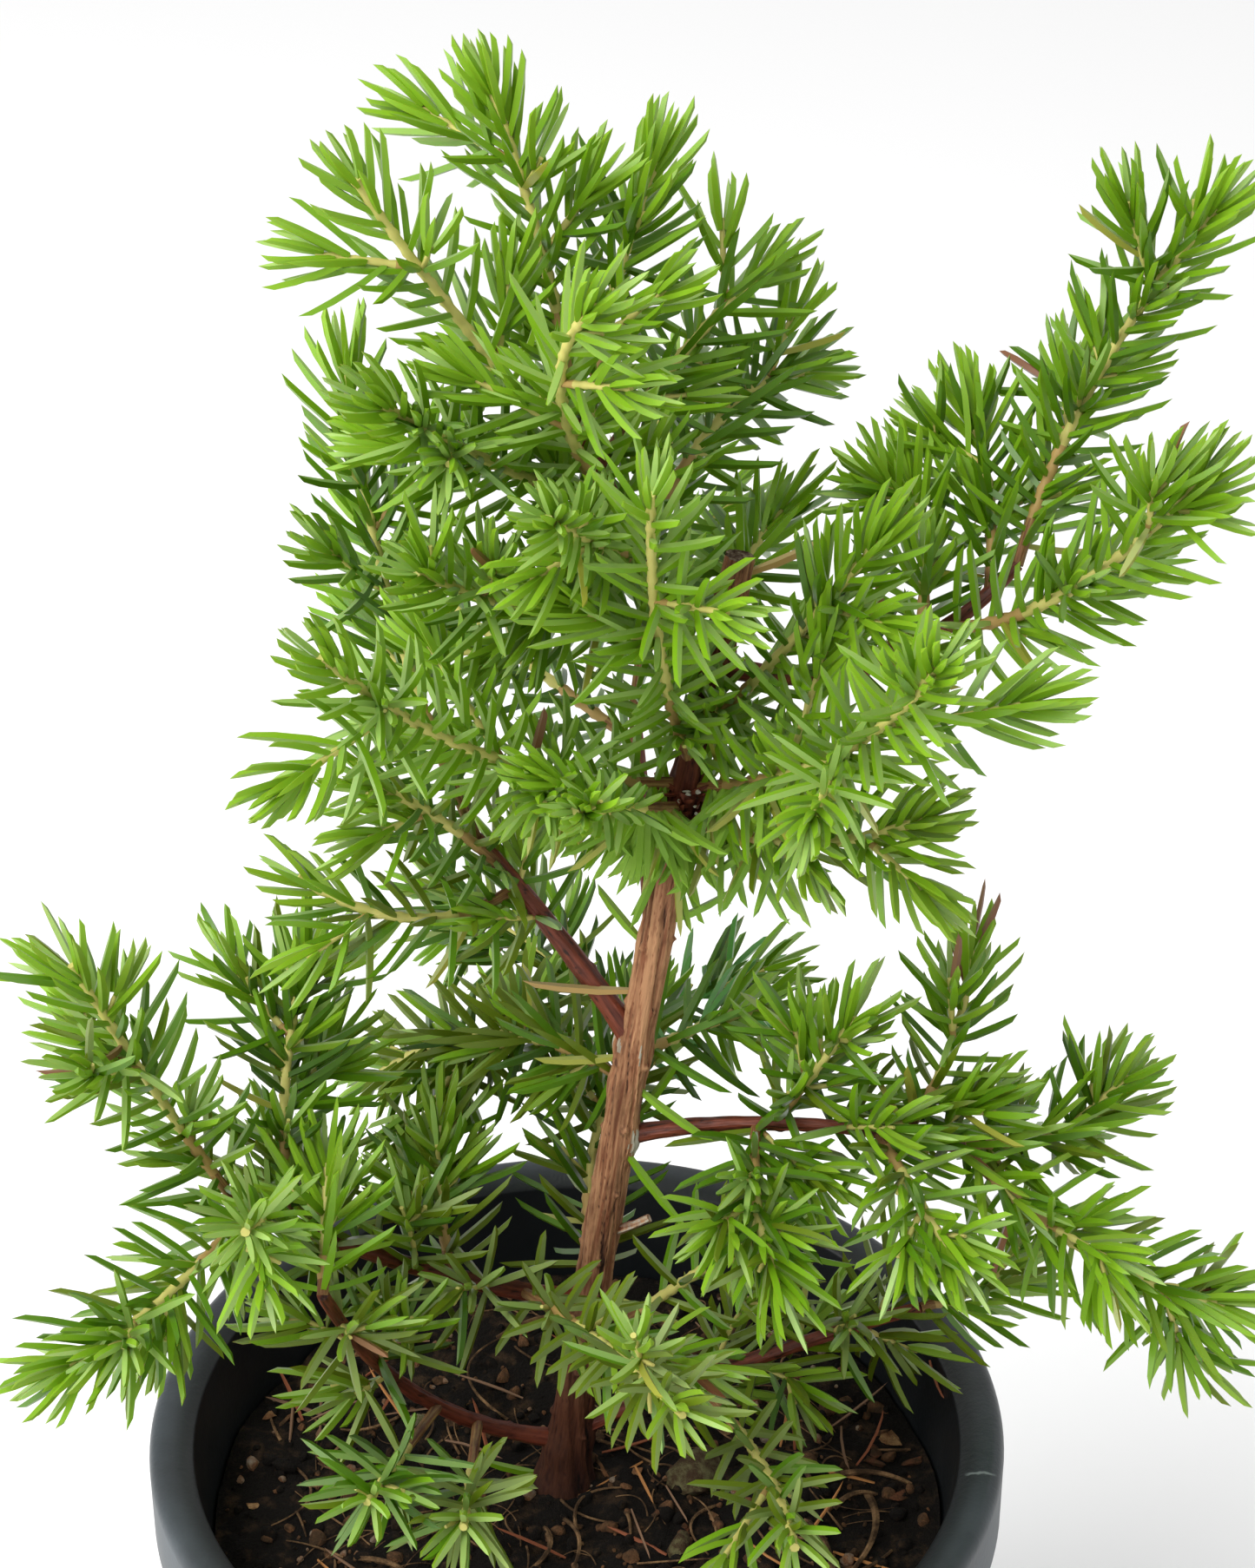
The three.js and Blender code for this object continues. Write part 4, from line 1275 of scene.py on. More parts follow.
def soil_rise(x, y, lumps):
    """Height of the soil over its level, in millimetres, at a place in millimetres."""
    broad, middle, fine = (
        strength * noise.noise(Vector((x / width, y / width, level))) for width, strength, level in LUMPS)
    near_trunk = math.exp(-(((x - TRUNK_FOOT[0]) ** 2 + (y - TRUNK_FOOT[1]) ** 2) / MOUND_SPREAD))
    return lumps * (broad + middle + fine) + TRUNK_MOUND * near_trunk


# Rings and segments of the soil's top
SOIL_RINGS = 72
SOIL_SEGMENTS = 220


class JUNIPER_OT_soil(Operator):
    """Turn the body of potting mix and lump its top"""

    bl_idname = "juniper.soil"
    bl_label = "Soil"

    def execute(self, context):
        look = context.scene.juniper_soil
        bottom = FLOOR + GAP
        edge = inner_radius(SOIL_LEVEL) - GAP
        profile = [(0, bottom), (inner_radius(bottom) - GAP, bottom), (edge, SOIL_LEVEL)]
        profile += [(edge * (1 - i / SOIL_RINGS), SOIL_LEVEL) for i in range(1, SOIL_RINGS + 1)]

        def lumped(bm):
            for vert in bm.verts:
                if vert.co.z > (SOIL_LEVEL - 1) * MM:
                    vert.co.z += soil_rise(vert.co.x / MM, vert.co.y / MM, look.lumps / MM) * MM

        mesh = spun_mesh("soil_body", profile, SOIL_SEGMENTS, lumped)
        material = earth_material("potting_mix", look.soil_dark, look.soil_brown, 300.0, 0.48, 0.74, 0.0014)
        add_piece("soil_body", mesh, [material], "potting_mix", "soil")
        return {"FINISHED"}


# A random turn in radians
TURN = 6.28

# Least room between what lies on the soil and the pot's wall
WALL_GAP = 0.8

# Seeds of what is strewn on the soil
CRUMB_SEED = 411
CHIP_SEED = 97
FIBRE_SEED = 5501
LITTER_SEED = 733

# Crumbs: the least size and how much it grows, how flat they are, and the shares up to which they are dark
# and brown. The others are pale
CRUMB_SIZES = (0.25, 1.1)
CRUMB_FLATNESS = 0.75
CRUMB_DARK = 0.6
CRUMB_BROWN = 0.9

# Colours of strewn chips and fallen needles, in turn or by lot, by their places in the lists of materials
CHIP_TONES = (1, 1, 2, 0, 1)
LITTER_TONES = (1, 0, 1, 2)

# Width and thickness of a strewn needle and of one with a place of its own
LITTER_SECTION = (0.9, 0.5)
PLACED_SECTION = (1.2, 0.6)

# Sides and rings of a fibre, and how much thicker the placed ones are drawn
FIBRE_TUBE = (5, 14)
FIBRE_WIDTH = 1.25


def on_soil(random, margin):
    """A place on the soil, even over its area, that keeps clear of the wall."""
    reach = inner_radius(SOIL_LEVEL) - margin
    out, turn = reach * math.sqrt(random()), 2 * math.pi * random()
    return out * math.cos(turn), out * math.sin(turn)


class JUNIPER_OT_litter(Operator):
    """Strew crumbs, chips, root fibres and fallen needles on the soil"""

    bl_idname = "juniper.litter"
    bl_label = "Litter"

    def execute(self, context):
        look = context.scene.juniper_soil
        self.lumps = look.lumps / MM
        self.add_crumbs(look, Heap(), seeded_numbers(CRUMB_SEED))
        self.add_chips(look, Heap(), seeded_numbers(CHIP_SEED))
        self.add_fibres(look, Heap(), seeded_numbers(FIBRE_SEED))
        self.add_needles(look, Heap(), seeded_numbers(LITTER_SEED))
        return {"FINISHED"}

    def on_top(self, x, y, over):
        return np.array((x, y, SOIL_LEVEL + soil_rise(x, y, self.lumps) + over))

    def add_crumbs(self, look, heap, random):
        patterns = [crumb_pattern(seed) for seed in range(5)]
        for i in range(look.crumbs):
            size = CRUMB_SIZES[0] + CRUMB_SIZES[1] * random() ** 3
            x, y = on_soil(random, 1.2 + size)
            sizes = (size * spread(0.7, random), size * spread(0.7, random), CRUMB_FLATNESS * size)
            kind = random()
            tone = 0 if kind < CRUMB_DARK else 1 if kind < CRUMB_BROWN else 2
            turns = (TURN * random(), random(), random())
            heap.add_tilted(patterns[i % len(patterns)], self.on_top(x, y, 0.25 * size), sizes, *turns, tone)
        materials = [
            earth_material("crumb_dark", look.soil_dark, look.soil_brown, 500.0, 0.5, 0.8),
            earth_material("crumb_brown", look.soil_brown, look.chip_brown, 500.0),
            earth_material("crumb_pale", look.chip_brown, look.pale, 700.0),
        ]
        heap.piece("soil_crumbs", materials, "potting_mix")

    def add_chips(self, look, heap, random):
        patterns = [chip_pattern(seed) for seed in range(10, 16)]
        rounds = crumb_pattern(31)
        tones = ["tan", "brown", "red", "moss", "pale"]
        for i in range(look.chips):
            x, y = on_soil(random, 4)
            sizes = (0.7 + 1.7 * random() ** 2, 0.4 + 0.9 * random(), 0.25 + 0.35 * random())
            pattern, tone = patterns[i % len(patterns)], CHIP_TONES[i % len(CHIP_TONES)]
            turns = (TURN * random(), 0.7 * random(), 0.6 * random())
            heap.add_tilted(pattern, self.on_top(x, y, 0.3), sizes, *turns, tone)
        for i, (x, y, length, width, height, turn, tone) in enumerate(PLACED_CHIPS):
            pattern = rounds if tone in ("moss", "pale") else patterns[i % len(patterns)]
            inward = min(1, (inner_radius(SOIL_LEVEL) - WALL_GAP - length / 2) / math.hypot(x, y))
            place = self.on_top(x * inward, y * inward, 0.25 * height)
            sizes = (length / 2, width / 2, height / 2)
            heap.add_tilted(pattern, place, sizes, math.radians(turn), 0.15, -0.1, tones.index(tone))
        materials = [
            earth_material("chip_tan", look.chip_brown, look.chip_tan, 500.0),
            earth_material("chip_brown", look.soil_brown, look.chip_brown, 500.0),
            earth_material("chip_red", look.soil_brown, look.chip_red, 500.0),
            earth_material("moss_lump", look.soil_brown, look.moss, 600.0),
            earth_material("pale_crumb", look.moss, look.pale, 700.0),
        ]
        heap.piece("bark_chips", materials, "potting_mix")

    def add_fibres(self, look, heap, random):
        for _ in range(look.fibres):
            length = 5 + 15 * random() ** 2
            x, y = on_soil(random, 2 + length / 2)
            across = towards(360 * random(), 0)[:2] * length / 2
            bow, radius = 1.5 * length * (random() - 0.5), 0.1 + 0.2 * random() ** 2
            self.add_fibre(heap, (x, y) - across, (x, y) + across, bow, radius, 1.2 + random())
        for x0, y0, x1, y1, bow, radius in PLACED_FIBRES:
            start, end = np.array((x0, y0)), np.array((x1, y1))
            self.add_fibre(heap, start, end, bow, FIBRE_WIDTH * radius, 1.4 + 2 * radius)
        materials = [earth_material("root_fibre", look.soil_brown, look.fibre, 300.0)]
        heap.piece("root_fibres", materials, "potting_mix")

    def add_fibre(self, heap, start, end, bow, radius, rise):
        """A root fibre from one place on the soil to another, bowed sideways and up."""
        way = end - start
        middle = (start + end) / 2 + np.array((-way[1], way[0])) / np.linalg.norm(way) * bow
        places = self.on_top(*start, 0.1), self.on_top(*middle, rise), self.on_top(*end, 0.1)
        limb = Limb(*places, radius, 0.5 * radius)
        pattern = tube_pattern(*FIBRE_TUBE)
        heap.add(pattern, limb.skin(pattern, limb.radius_at(pattern.places[:, 2])), 0)

    def add_needles(self, look, heap, random):
        pattern = needle_pattern()
        colours = {"red": look.litter_red, "grey": look.litter_grey, "tan": look.litter_tan}
        for i in range(look.litter):
            length = 8 + 4 * random()
            x, y = on_soil(random, 7)
            direction = towards(360 * random(), 4 + (30 * random() if i % 4 == 0 else 0))
            roll = leaving(direction, 90, 360 * random())
            bend = 0.3 * (random() - 0.3)
            tone = LITTER_TONES[int(len(LITTER_TONES) * random())]
            sizes = (length, *LITTER_SECTION)
            heap.add_needle(pattern, self.on_top(x, y, 0.4), direction, roll, sizes, bend, tone)
        for x, y, over, heading, rise, length, bend, tone in PLACED_LITTER:
            heap.add_needle(
                pattern, self.on_top(x, y, over), towards(heading, rise), towards(heading + 90, 30),
                (length, *PLACED_SECTION), bend, list(colours).index(tone))
        materials = [leaf_material("fallen_needle_" + name, colour, 0.75) for name, colour in colours.items()]
        heap.piece("fallen_needles", materials, "potting_mix")


# The bark's strips, cracks and fibres: how fine each is round the limb and along it, and the noise's level
BARK_LAYERS = [(2.2, 0.03, 0), (3.8, 0.04, 31), (6.5, 0.06, 57)]
BARK_TWIST = 0.006

# Half the noise over which a strip's edge rises, and the noise beside a crack's middle where it ends
STRIP_EDGE = 0.12
CRACK_WIDTH = 0.07

# Height from one whorl of old scars to the next, and how far out from a nub its dark ring lies
SCAR_SPACING = 10.0
SCAR_RING = 1.6


class BarkSkin:
    """The relief over a limb's tube: strips, cracks, fibres, nubs and rings, each from about -1 or 0 to 1."""

    def __init__(self, limb, sides, rings, seed, scar_seed):
        self.limb, self.pattern = limb, tube_pattern(sides, rings)
        self.share, self.circle = self.pattern.places[:, 2], self.pattern.places[:, :2]
        self.height = self.share * limb.length
        self.add_layers(seed)
        self.add_scars(seeded_numbers(scar_seed))

    def add_layers(self, seed):
        twist = 2 * math.pi * BARK_TWIST * self.height
        x, y = self.circle.T
        c, s = np.cos(twist), np.sin(twist)
        places = np.column_stack([x * c - y * s, x * s + y * c, self.height])

        def layer(fine, along, level):
            points = [Vector((fine * a, fine * b, along * h + seed + level)) for a, b, h in places]
            return np.array([noise.noise(point) for point in points])

        strips, cracks, self.fibres = (layer(*row) for row in BARK_LAYERS)
        self.strips = smooth_step(strips, -STRIP_EDGE, STRIP_EDGE) * 2 - 1
        self.cracks = np.clip(1 - np.abs(cracks) / CRACK_WIDTH, 0, 1)

    def add_scars(self, random):
        """Small nubs in threes up the limb, where old needles stood, and the dark ring round each."""
        self.nubs, self.rings = np.zeros((2, len(self.share)))
        for i in range(1, int(self.limb.length / SCAR_SPACING)):
            turn = TURN * random()
            for k in range(3):
                angle = turn + k * 2 * math.pi / 3
                apart = 1 - (self.circle[:, 0] * math.cos(angle) + self.circle[:, 1] * math.sin(angle))
                along = (self.height - (i + 0.3 * random()) * SCAR_SPACING) / (0.35 + 0.25 * random())
                out = along ** 2 + apart / (0.012 + 0.015 * random())
                self.nubs = np.maximum(self.nubs, np.exp(-out))
                self.rings = np.maximum(self.rings, np.exp(-(out - SCAR_RING) ** 2))

    def relief(self, look, depth):
        """How far the skin stands out, with its strips and cracks at a share of their depth."""
        deep = depth * look.plates * self.strips - depth * look.cracks * self.cracks
        return (deep + look.fibres * self.fibres) / MM

    def add_to(self, heap, radius, tones, marks, level_foot=False):
        grain = np.column_stack([self.circle * radius[:, None], self.height])
        heap.add(self.pattern, self.limb.skin(self.pattern, radius, level_foot), tones, marks, grain)


# How far the swelling round a limb's foot reaches
COLLAR_REACH = 2.4


def collars(places, joints):
    """How much the skin swells towards each place where a limb leaves."""
    swell = np.zeros(len(places))
    for joint in joints:
        swell = np.maximum(swell, np.exp(-((np.linalg.norm(places - joint, axis=1) / COLLAR_REACH) ** 2)))
    return swell


# Sides and rings of each limb's tube
TRUNK_TUBE = (84, 360)
BOUGH_TUBE = (28, 110)
DEAD_TUBE = (12, 24)

# Thickness of a bough's bark, against the bough that the solids have
BOUGH_SLIMNESS = 0.88

# Heights at which the trunk's bark has each of its tints
TINT_LEVELS = [SOIL_LEVEL + rise for rise in (0, 14, 50, 96, 108, 135, 146)]

# Boughs at whose forks the trunk's bark is pale, and which way the pale bark faces
PALE_FORKS = {"left_bough": -140, "right_bough": -50}

# Seeds of the trunk's scars, of a bough's, each bough one more, and of the scales round the whorl
TRUNK_SCAR_SEED = 61
BOUGH_SCAR_SEED = 200
SCALE_SEED = 1201

# Edges of bark sharper than this, in degrees, stay sharp
BARK_SMOOTHING = 50

# Bud scales and beads of resin round the whorl: how many, and the least share of the trunk and its span
SCALES = 64
SCALE_SHARES = (0.752, 0.028)
BEADS = 9
BEAD_SHARES = (0.758, 0.03)


class JUNIPER_OT_bark(Operator):
    """Build the trunk and the boughs, with the relief of their bark"""

    bl_idname = "juniper.bark"
    bl_label = "Bark"

    def execute(self, context):
        look, trunk = context.scene.juniper_bark, all_limbs()["trunk"]
        self.add_trunk(trunk, look)
        self.add_boughs(look)
        self.add_dead_twig(trunk, look)
        self.add_whorl_scales(trunk, look, seeded_numbers(SCALE_SEED))
        return {"FINISHED"}

    def add_trunk(self, trunk, look):
        skin, heap = BarkSkin(trunk, *TRUNK_TUBE, 4.0, TRUNK_SCAR_SEED), Heap()
        plain = trunk.skin(skin.pattern, trunk.radius_at(skin.share))
        limbs = [*BOUGHS.values(), *STEMS["trunk"].values()]
        swell = look.collar / MM * collars(plain, [trunk.surface(row.at, row.heading) for row in limbs])
        radius = trunk.radius_at(skin.share) + skin.relief(look, 1) + swell + 0.5 * skin.nubs - 0.12
        marks = 0.3 * skin.strips - 0.5 * skin.cracks + 0.5 * skin.fibres
        marks = marks - 0.35 * skin.rings + 0.3 * skin.nubs
        forks = [trunk.surface(BOUGHS[name].at, heading) for name, heading in PALE_FORKS.items()]
        pale = skin.pattern.over_faces(collars(plain, forks))
        pale = pale + 0.9 * skin.pattern.over_faces(skin.fibres + 0.4 * skin.strips) > 1.0
        is_top = skin.pattern.middles[:, 2] > 1 - 1e-4
        skin.add_to(heap, radius, np.where(is_top, 1, np.where(pale, 2, 0)), marks, level_foot=True)
        tints = zip(TINT_LEVELS, [
            look.foot_tint, look.low_tint, WHITE, WHITE, look.whorl_tint, look.upper_tint, WHITE])
        materials = [
            bark_material("trunk_bark", look.ridge, look.mid, look.crack, 0.8, list(tints)),
            earth_material("cut_wood", look.crack, look.cut, 1200.0),
            bark_material("pale_bark", look.resin, look.cut, look.mid, 0.85),
        ]
        heap.piece("bark_trunk", materials, "trunk_bark", "trunk", smooth=BARK_SMOOTHING)

    def add_boughs(self, look):
        materials = [bark_material("bough_bark", look.red, look.red_mid, look.red_dark, 0.5)]
        for index, name in enumerate(BOUGHS):
            bough, heap = all_limbs()[name], Heap()
            skin = BarkSkin(bough, *BOUGH_TUBE, 9.0 + 3 * index, BOUGH_SCAR_SEED + index)
            foot_flare = 0.5 * np.exp(-skin.height / 2.5)
            radius = BOUGH_SLIMNESS * bough.radius_at(skin.share) + foot_flare + 0.25 * skin.nubs
            radius = radius + skin.relief(look, 0.3)
            marks = 0.3 * skin.strips - 0.7 * skin.cracks + 0.5 * skin.fibres - 0.5 * skin.rings
            skin.add_to(heap, radius, 0, marks)
            heap.piece("bark_" + name, materials, "bough_bark", name, smooth=BARK_SMOOTHING)

    def add_dead_twig(self, trunk, look):
        limb, heap = Limb.off(trunk, DEAD_TWIG, 0.85, 0.6), Heap()
        skin = BarkSkin(limb, *DEAD_TUBE, 77.0, 0)
        radius = limb.radius_at(skin.share) + 0.08 * skin.strips - 0.1 * skin.cracks
        heap.add(skin.pattern, limb.skin(skin.pattern, radius), 0, 0.6 * skin.strips - skin.cracks)
        materials = [bark_material("dead_bark", look.resin, look.ridge, look.mid, 0.9)]
        heap.piece("dead_twig", materials, "trunk_bark", smooth=BARK_SMOOTHING)

    def add_whorl_scales(self, trunk, look, random):
        """Dry bud scales round the trunk where the whorl of stems leaves it, with beads of resin."""
        heap = Heap()
        for i in range(SCALES):
            share = SCALE_SHARES[0] + SCALE_SHARES[1] * random()
            heading, rise = -90 + 260 * (random() - 0.5), -20 + 65 * random()
            direction = towards(heading + 130 * (random() - 0.5), rise)
            sizes = (2.4 + 2.6 * random(), 1.3 + 0.8 * random(), 0.5)
            root = trunk.surface(share, heading, -0.4)
            heap.add_needle(needle_pattern(), root, direction, -towards(heading, 0), sizes, 0.15, 0)
        for i in range(BEADS):
            share, heading = BEAD_SHARES[0] + BEAD_SHARES[1] * random(), -90 + 120 * (random() - 0.5)
            place = trunk.surface(share, heading, 0.8 + 1.6 * random())
            sizes = (0.2 + 0.5 * random(), 0.25, 0.12 + 0.2 * random())
            heap.add_tilted(crumb_pattern(2), place, sizes, TURN * random(), random(), random(), 1)
        materials = [
            bark_material("scale_bark", look.red, look.scale, look.red_dark, 0.6),
            leaf_material("resin", look.resin, 0.3),
        ]
        heap.piece("whorl_scales", materials, "trunk_bark", smooth=BARK_SMOOTHING)


TONES = ["fresh", "bright", "green", "deep", "soft", "olive", "blue", "yellow", "dead"]
LIVE_TONES = 4
NEEDLE_SMOOTHING = 75

# Masses over the soil have the middle of their stem lower than this and nearer the pot's axis than this, and
# the blue ones have it beyond this place to the right and back, and lower than this
OVER_SOIL_LEVEL = 150
OVER_SOIL_REACH = 48
BLUE_FROM = 12
BLUE_LEVEL = 225

# How far a needle's lean and its place round the shoot may stray, in degrees, and the turn from one whorl to
# the next and how far that strays
LEAN_SPREAD = 16
PLACE_SPREAD = 24
WHORL_TURN = 60
WHORL_TURN_SPREAD = 8

# For a stem, twig and sprig: how far apart its whorls are and how long its needles, against the usual
RANK_WHORLS = (0.74, 0.84, 1.0)
RANK_NEEDLES = (1.0, 0.96, 0.88)

# Length of the dense brush at the end of a shoot, and how needles near the pot differ from those above
TUFT = 10.0
LOW_LEVEL = 185.0
LOW_LENGTH = 1.08
LOW_WIDTH = 1.12
LOW_SPACING = 1.2
LOW_OPENING = 7.0
DEAD_WIDTH = 0.7

# Over the soil, low on the plant and above: how close the whorls at a shoot's tip are against the rest of it,
# and how many needles the shade turns olive
ZONES = {"soil": (0.66, 0.8), "low": (0.44, 0.25), "high": (0.36, 0.0)}

# How old needles look, from 0 to 1, where the deeper tones towards the back, low down and over the soil are
# partly age and partly painted shade: in the middle of the plant and at its height, how that grows towards
# the back and falls with height, and how far needles over the soil look older
AGE = 0.42
AGE_LEVEL = 190
AGE_AND_SHADE_BACK = 0.0045
AGE_AND_SHADE_UP = 0.0013
AGE_AND_SHADE_OVER_SOIL = 0.12
AGE_SPREAD = 0.22

# How often a needle is dead, dead on the mass that is dying back, yellow, and blue at the back right
DEAD_CHANCE = 0.0015
DYING_CHANCE = 0.25
YELLOW_CHANCE = 0.02
BLUE_CHANCE = 0.5


class Needles:
    """Puts needles in whorls of three on each shoot, with a tone for each."""

    def __init__(self, look, room):
        self.look, self.room = look, room
        self.sizes = (look.needle_length / MM, look.needle_width / MM, look.needle_thickness / MM)

    def grow_on(self, spray, heap):
        x, y, z = spray.stem.point(0.6)
        is_over_soil = z < OVER_SOIL_LEVEL and math.hypot(x, y) < OVER_SOIL_REACH
        self.is_low = z < LOW_LEVEL
        self.is_blue = y > BLUE_FROM and x > BLUE_FROM and z < BLUE_LEVEL
        self.tip_spacing, shaded = ZONES["soil" if is_over_soil else "low" if self.is_low else "high"]
        self.shaded = SHADED.get(spray.name, shaded)
        # Deeper towards the back, lower down and over the soil: partly age, partly painted shade
        age = AGE + AGE_AND_SHADE_BACK * y - AGE_AND_SHADE_UP * (z - AGE_LEVEL)
        age += AGE_AND_SHADE_OVER_SOIL if is_over_soil else 0
        for shoot in spray.shoots:
            self.clothe(spray, shoot, age + AGE_SPREAD * (spray.random() - 0.5), heap)

    def clothe(self, spray, shoot, age, heap):
        look, random, limb, pattern = self.look, spray.random, shoot.limb, needle_pattern()
        length, width, thickness = self.sizes
        spacing = look.whorl_spacing / MM * RANK_WHORLS[shoot.rank] * WHORL_ROOM.get(spray.name, 1.0)
        length *= NEEDLE_SIZE.get(spray.name, 1.0)
        angles = look.old_angle, look.needle_angle, look.sprig_angle, look.tip_angle
        foot, young, sprig, tip = (math.degrees(angle) for angle in angles)
        if self.is_low:
            length, width, spacing = LOW_LENGTH * length, LOW_WIDTH * width, LOW_SPACING * spacing
            young, tip = young + LOW_OPENING, tip + LOW_OPENING
        tuft = min(TUFT, 0.8 * limb.length)
        at = shoot.bare * limb.length
        turn = 360 * random()
        while at < limb.length:
            share = at / limb.length
            forward = max(0.0, 1 - (limb.length - at) / tuft)
            angle = sprig if shoot.rank == 2 else mix(foot, young, min(1, 1.5 * share))
            root, tangent = limb.point(share), limb.tangent(share)
            for k in range(3):
                lean = mix(angle, tip, forward ** 0.8) + LEAN_SPREAD * (random() - 0.5)
                direction = leaving(tangent, lean, turn + 120 * k + PLACE_SPREAD * (random() - 0.5))
                reach = length * RANK_NEEDLES[shoot.rank] * spread(0.84, random) * mix(1, 0.7, forward ** 2)
                broad = width * mix(1, 0.85, forward) * spread(0.9, random)
                end = root + direction * reach
                bend = mix(0.02, 0.1, random()) * (1 if random() < 0.7 else -0.6)
                tones = pattern.tones + 2 * self.tone(age, forward, share, spray, random)
                hides_stem = spray.name in SHOWN_STEMS and direction @ SHOWN_FROM > SHOWN_SPREAD
                if hides_stem and random() < SHOWN_GAPS:
                    continue
                start = mix(root, end, 0.3)
                if is_clear(root, end) and self.room.is_free(spray.name, start, end, 0.3 * broad):
                    heap.add_needle(pattern, root, direction, tangent, (reach, broad, thickness), bend, tones)
            turn += WHORL_TURN + WHORL_TURN_SPREAD * random()
            at += spacing * mix(1, self.tip_spacing, forward)

    def tone(self, age, forward, share, spray, random):
        """A number in TONES: fresh at the tips, deeper inside and behind, partly by age and partly as painted
        shade.
        """
        chance = random()
        if spray.name == "low_right_dead" and share > 0.8 and chance < DYING_CHANCE:
            return TONES.index("dead")
        if chance < DEAD_CHANCE:
            return TONES.index("dead")
        if chance < YELLOW_CHANCE and share < 0.5:
            return TONES.index("yellow")
        age = age - 0.4 * forward + AGE_SPREAD * (random() - 0.5)
        tone = int(np.clip(age * LIVE_TONES / 0.8, 0, LIVE_TONES - 1))
        chance = random()
        if self.is_blue and tone >= 2 and chance < BLUE_CHANCE:
            return TONES.index("blue")
        if chance < self.shaded and not self.is_blue:
            return TONES.index("olive" if tone >= 2 else "soft")
        return tone


class JUNIPER_OT_needles(Operator):
    """Grow the needles of every mass of foliage, and those that stand singly on the trunk"""

    bl_idname = "juniper.needles"
    bl_label = "Needles"

    def execute(self, context):
        look = context.scene.juniper_foliage
        sprays, room = grow(look)
        needles, materials = Needles(look, room), []
        for tone in TONES:
            colour, is_live = getattr(look, tone), tone != "dead"
            # The band's pale colour is partly the real waxy band and partly painted sheen
            band, glow = (look.band_share, 0.12) if is_live else (0.1, 0.0)
            materials.append(leaf_material("needle_" + tone, colour, 0.36, glow))
            materials.append(leaf_material("band_" + tone, blended(colour, look.band, band), 0.42, glow))
        for name, group in spray_groups(sprays):
            heap = Heap()
            for spray in group:
                needles.grow_on(spray, heap)
            masses = [spray.name for spray in group if spray.is_mass]
            heap.piece("needles_" + name, materials, "foliage", *masses, smooth=NEEDLE_SMOOTHING)
        self.add_single_needles(needles, look, Heap())
        return {"FINISHED"}

    def add_single_needles(self, needles, look, heap):
        colours = {
            "bright": look.fresh, "green": look.bright, "yellow": look.yellow, "dry": look.tan,
            "dead": look.dead}
        pattern = needle_pattern()
        for name, at, heading, rise, length, tone in SINGLE_NEEDLES:
            broad = DEAD_WIDTH if tone == "dead" else LOW_WIDTH
            sizes = (length, broad * look.needle_width / MM, look.needle_thickness / MM)
            root, upper = all_limbs()[name].surface(at, heading, -0.4), UP + 0.3 * towards(heading, 0)
            tones = pattern.tones + 2 * list(colours).index(tone)
            heap.add_needle(pattern, root, towards(heading, rise), upper, sizes, 0.06, tones)
        self.add_fringe(needles, heap, seeded_numbers(FRINGE_SEED))
        materials = []
        for name, colour in colours.items():
            materials.append(leaf_material("single_" + name, colour))
            # A little of the pale band, partly painted sheen
            materials.append(leaf_material("single_band_" + name, blended(colour, look.band, 0.2)))
        heap.piece("needles_single", materials, "foliage", smooth=NEEDLE_SMOOTHING)

    def add_fringe(self, needles, heap, random):
        """Needles that hang round the front of the trunk, from it and the feet of the whorl's stems."""
        (length, width, thickness), pattern = needles.sizes, needle_pattern()
        for i in range(FRINGE):
            name = FRINGE_LIMBS[i % len(FRINGE_LIMBS)]
            share = mix(*FRINGE_SHARES[name == "trunk"], random())
            heading, rise = -90 + 200 * (random() - 0.5), mix(*FRINGE_RISES, random())
            if name == "trunk" and share > FRINGE_RISES_FROM:
                rise = -rise
            direction, root = towards(heading, rise), all_limbs()[name].surface(share, heading, -0.3)
            sizes = (length * mix(0.7, 1.1, random()), width, thickness)
            end = root + direction * sizes[0]
            bend = mix(-0.12, 0.12, random())
            if needles.room.is_free(name, mix(root, end, 0.3), end, 0.3 * width):
                tones = pattern.tones + 2 * FRINGE_TONES[int(len(FRINGE_TONES) * random())]
                heap.add_needle(pattern, root, direction, UP + 0.3 * towards(heading, 0), sizes, bend, tones)


# Thickness of a stem at its foot, against the stem that the solids have, and at its tip, against its foot.
# Then its sides, the length of a step along it, and how far it swells under a whorl and ripples round
STEM_SLIMNESS = 0.78
STEM_TAPER = 0.66
STEM_SIDES = 8
STEM_STEP = 0.65
STEM_SWELL = 0.3
STEM_RIPPLE = 0.06

# For a stem, twig and sprig: the share up to which it is woody, and up to which it is tan
RANK_WOODY = (0.1, 0.0, 0.0)
RANK_TAN = (0.32, 0.2, 0.1)


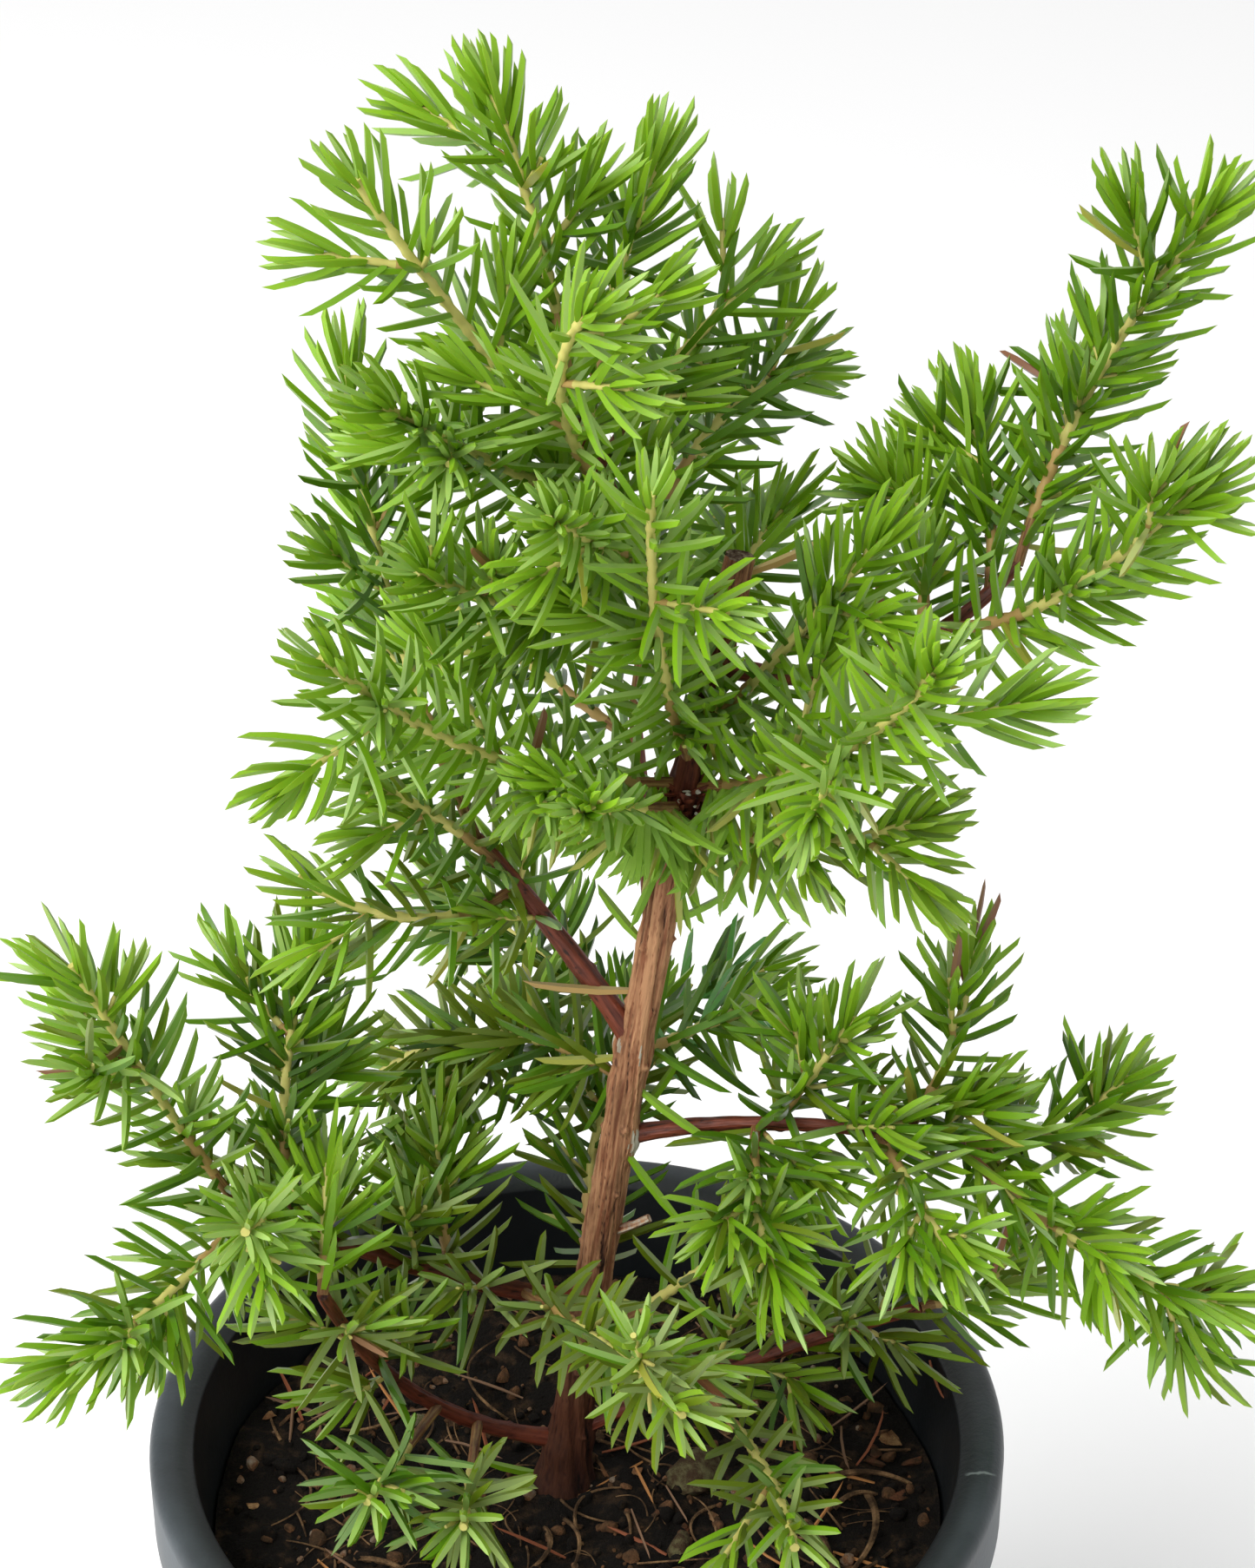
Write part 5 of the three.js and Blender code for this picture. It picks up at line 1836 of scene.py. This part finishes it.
class JUNIPER_OT_twigs(Operator):
    """Grow the stems, twigs and sprigs under the needles"""

    bl_idname = "juniper.twigs"
    bl_label = "Twigs"

    def execute(self, context):
        look = context.scene.juniper_foliage
        materials = [
            bark_material("stem_wood", look.tan, look.wood, blended(look.wood, BLACK, 0.4), 0.6),
            leaf_material("stem_tan", look.tan, 0.6),
            leaf_material("stem_cream", look.cream, 0.55, 0.05),
        ]
        for name, group in spray_groups(grow(look)[0]):
            heap = Heap()
            for spray in group:
                for shoot in spray.shoots:
                    self.add_shoot(shoot, spray, look.whorl_spacing / MM, heap)
            heap.piece("twigs_" + name, materials, "foliage", smooth=60)
        return {"FINISHED"}

    def add_shoot(self, shoot, spray, spacing, heap):
        """A knobbly shoot that swells under each whorl: woody at its foot and cream at its tip."""
        limb = shoot.limb
        pattern = tube_pattern(STEM_SIDES, max(6, round(limb.length / STEM_STEP)))
        woody = RANK_WOODY[shoot.rank] + 0.08 * spray.random()
        woody = max(woody, shoot.bare - 0.1) if shoot.rank == 0 else woody
        share, circle = pattern.places[:, 2], pattern.places[:, :2]
        swell = np.maximum(0, np.cos(2 * math.pi * share * limb.length / spacing)) ** 2
        young = smooth_step(share, woody - 0.1, woody + 0.1)
        plain = STEM_SLIMNESS * mix(limb.radius, STEM_TAPER * limb.radius, share)
        ripple = np.cos(3 * np.arctan2(*circle.T))
        radius = plain * (1 + young * (STEM_SWELL * swell + STEM_RIPPLE * ripple))
        level = pattern.middles[:, 2]
        tones = np.where(level < woody, 0, np.where(level < max(woody, RANK_TAN[shoot.rank]), 1, 2))
        grain = np.column_stack([limb.radius * circle, share * limb.length])
        heap.add(pattern, limb.skin(pattern, radius), tones, None, grain)


# Where the lights look, and each light's place and size in metres
LIGHT_TARGET = Vector((0.01, 0, 0.19))
LIGHTS = {"key": ((-0.6, -0.55, 1.3), 0.9), "side": ((-1.1, -0.4, 0.5), 0.8)}

# Half the floor's width in metres, and the width of the camera's sensor in millimetres
FLOOR_SIZE = 8
SENSOR_WIDTH = 36


class JUNIPER_OT_stage(Operator):
    """Set up the floor, the light and the camera"""

    bl_idname = "juniper.stage"
    bl_label = "Stage"

    def execute(self, context):
        look, scene = context.scene.juniper_stage, context.scene
        bm = bmesh.new()
        bmesh.ops.create_grid(bm, x_segments=8, y_segments=8, size=FLOOR_SIZE)
        floor = new_object("floor", mesh_from(bm, "floor"))
        floor.data.materials.append(new_material("floor", Base_Color=linear(look.floor), Roughness=0.9)[0])
        world = bpy.data.worlds.new("soft_sky")
        world.use_nodes = True
        sky = world.node_tree.nodes["Background"].inputs
        sky["Color"].default_value, sky["Strength"].default_value = (1.0, 1.0, 1.0, 1.0), look.sky
        scene.world = world
        for name, (place, size) in LIGHTS.items():
            light = bpy.data.lights.new(name + "_light", "AREA")
            light.size, light.energy = size, getattr(look, name)
            lamp = new_object(name + "_light", light)
            lamp.location = place
            lamp.rotation_euler = (LIGHT_TARGET - lamp.location).to_track_quat("-Z", "Y").to_euler()
        camera = new_object("camera", bpy.data.cameras.new("camera"))
        camera.location = look.eye
        camera.rotation_euler = (math.pi / 2 - look.pitch, 0, 0)
        camera.data.lens, camera.data.sensor_width, camera.data.clip_start = look.lens, SENSOR_WIDTH, 0.01
        scene.camera = camera
        scene.view_settings.view_transform = "Standard"
        return {"FINISHED"}


class JUNIPER_PT_panel(Panel):
    """Lists the pieces of the plant"""

    bl_label = "Potted Juniper"
    bl_space_type = "VIEW_3D"
    bl_region_type = "UI"
    bl_category = "Juniper"

    def draw(self, context):
        for operator in OPERATORS:
            self.layout.operator(operator.bl_idname)
        for look in LOOKS:
            settings = getattr(context.scene, look)
            for name in settings.__annotations__:
                self.layout.prop(settings, name)


LOOKS = {
    "juniper_pot": PotLook,
    "juniper_soil": SoilLook,
    "juniper_bark": BarkLook,
    "juniper_foliage": FoliageLook,
    "juniper_stage": StageLook,
}
OPERATORS = [
    JUNIPER_OT_stage, JUNIPER_OT_pot, JUNIPER_OT_soil, JUNIPER_OT_litter, JUNIPER_OT_bark,
    JUNIPER_OT_twigs, JUNIPER_OT_needles,
]


def register():
    for cls in [*LOOKS.values(), *OPERATORS, JUNIPER_PT_panel]:
        bpy.utils.register_class(cls)
    for name, cls in LOOKS.items():
        setattr(bpy.types.Scene, name, PointerProperty(type=cls))


def unregister():
    for name in LOOKS:
        delattr(bpy.types.Scene, name)
    for cls in reversed([*LOOKS.values(), *OPERATORS, JUNIPER_PT_panel]):
        bpy.utils.unregister_class(cls)


def main():
    """Builds every piece in order."""
    register()
    bpy.ops.juniper.stage()
    bpy.ops.juniper.pot()
    bpy.ops.juniper.soil()
    bpy.ops.juniper.litter()
    bpy.ops.juniper.bark()
    bpy.ops.juniper.twigs()
    bpy.ops.juniper.needles()


if __name__ == "__main__":
    main()
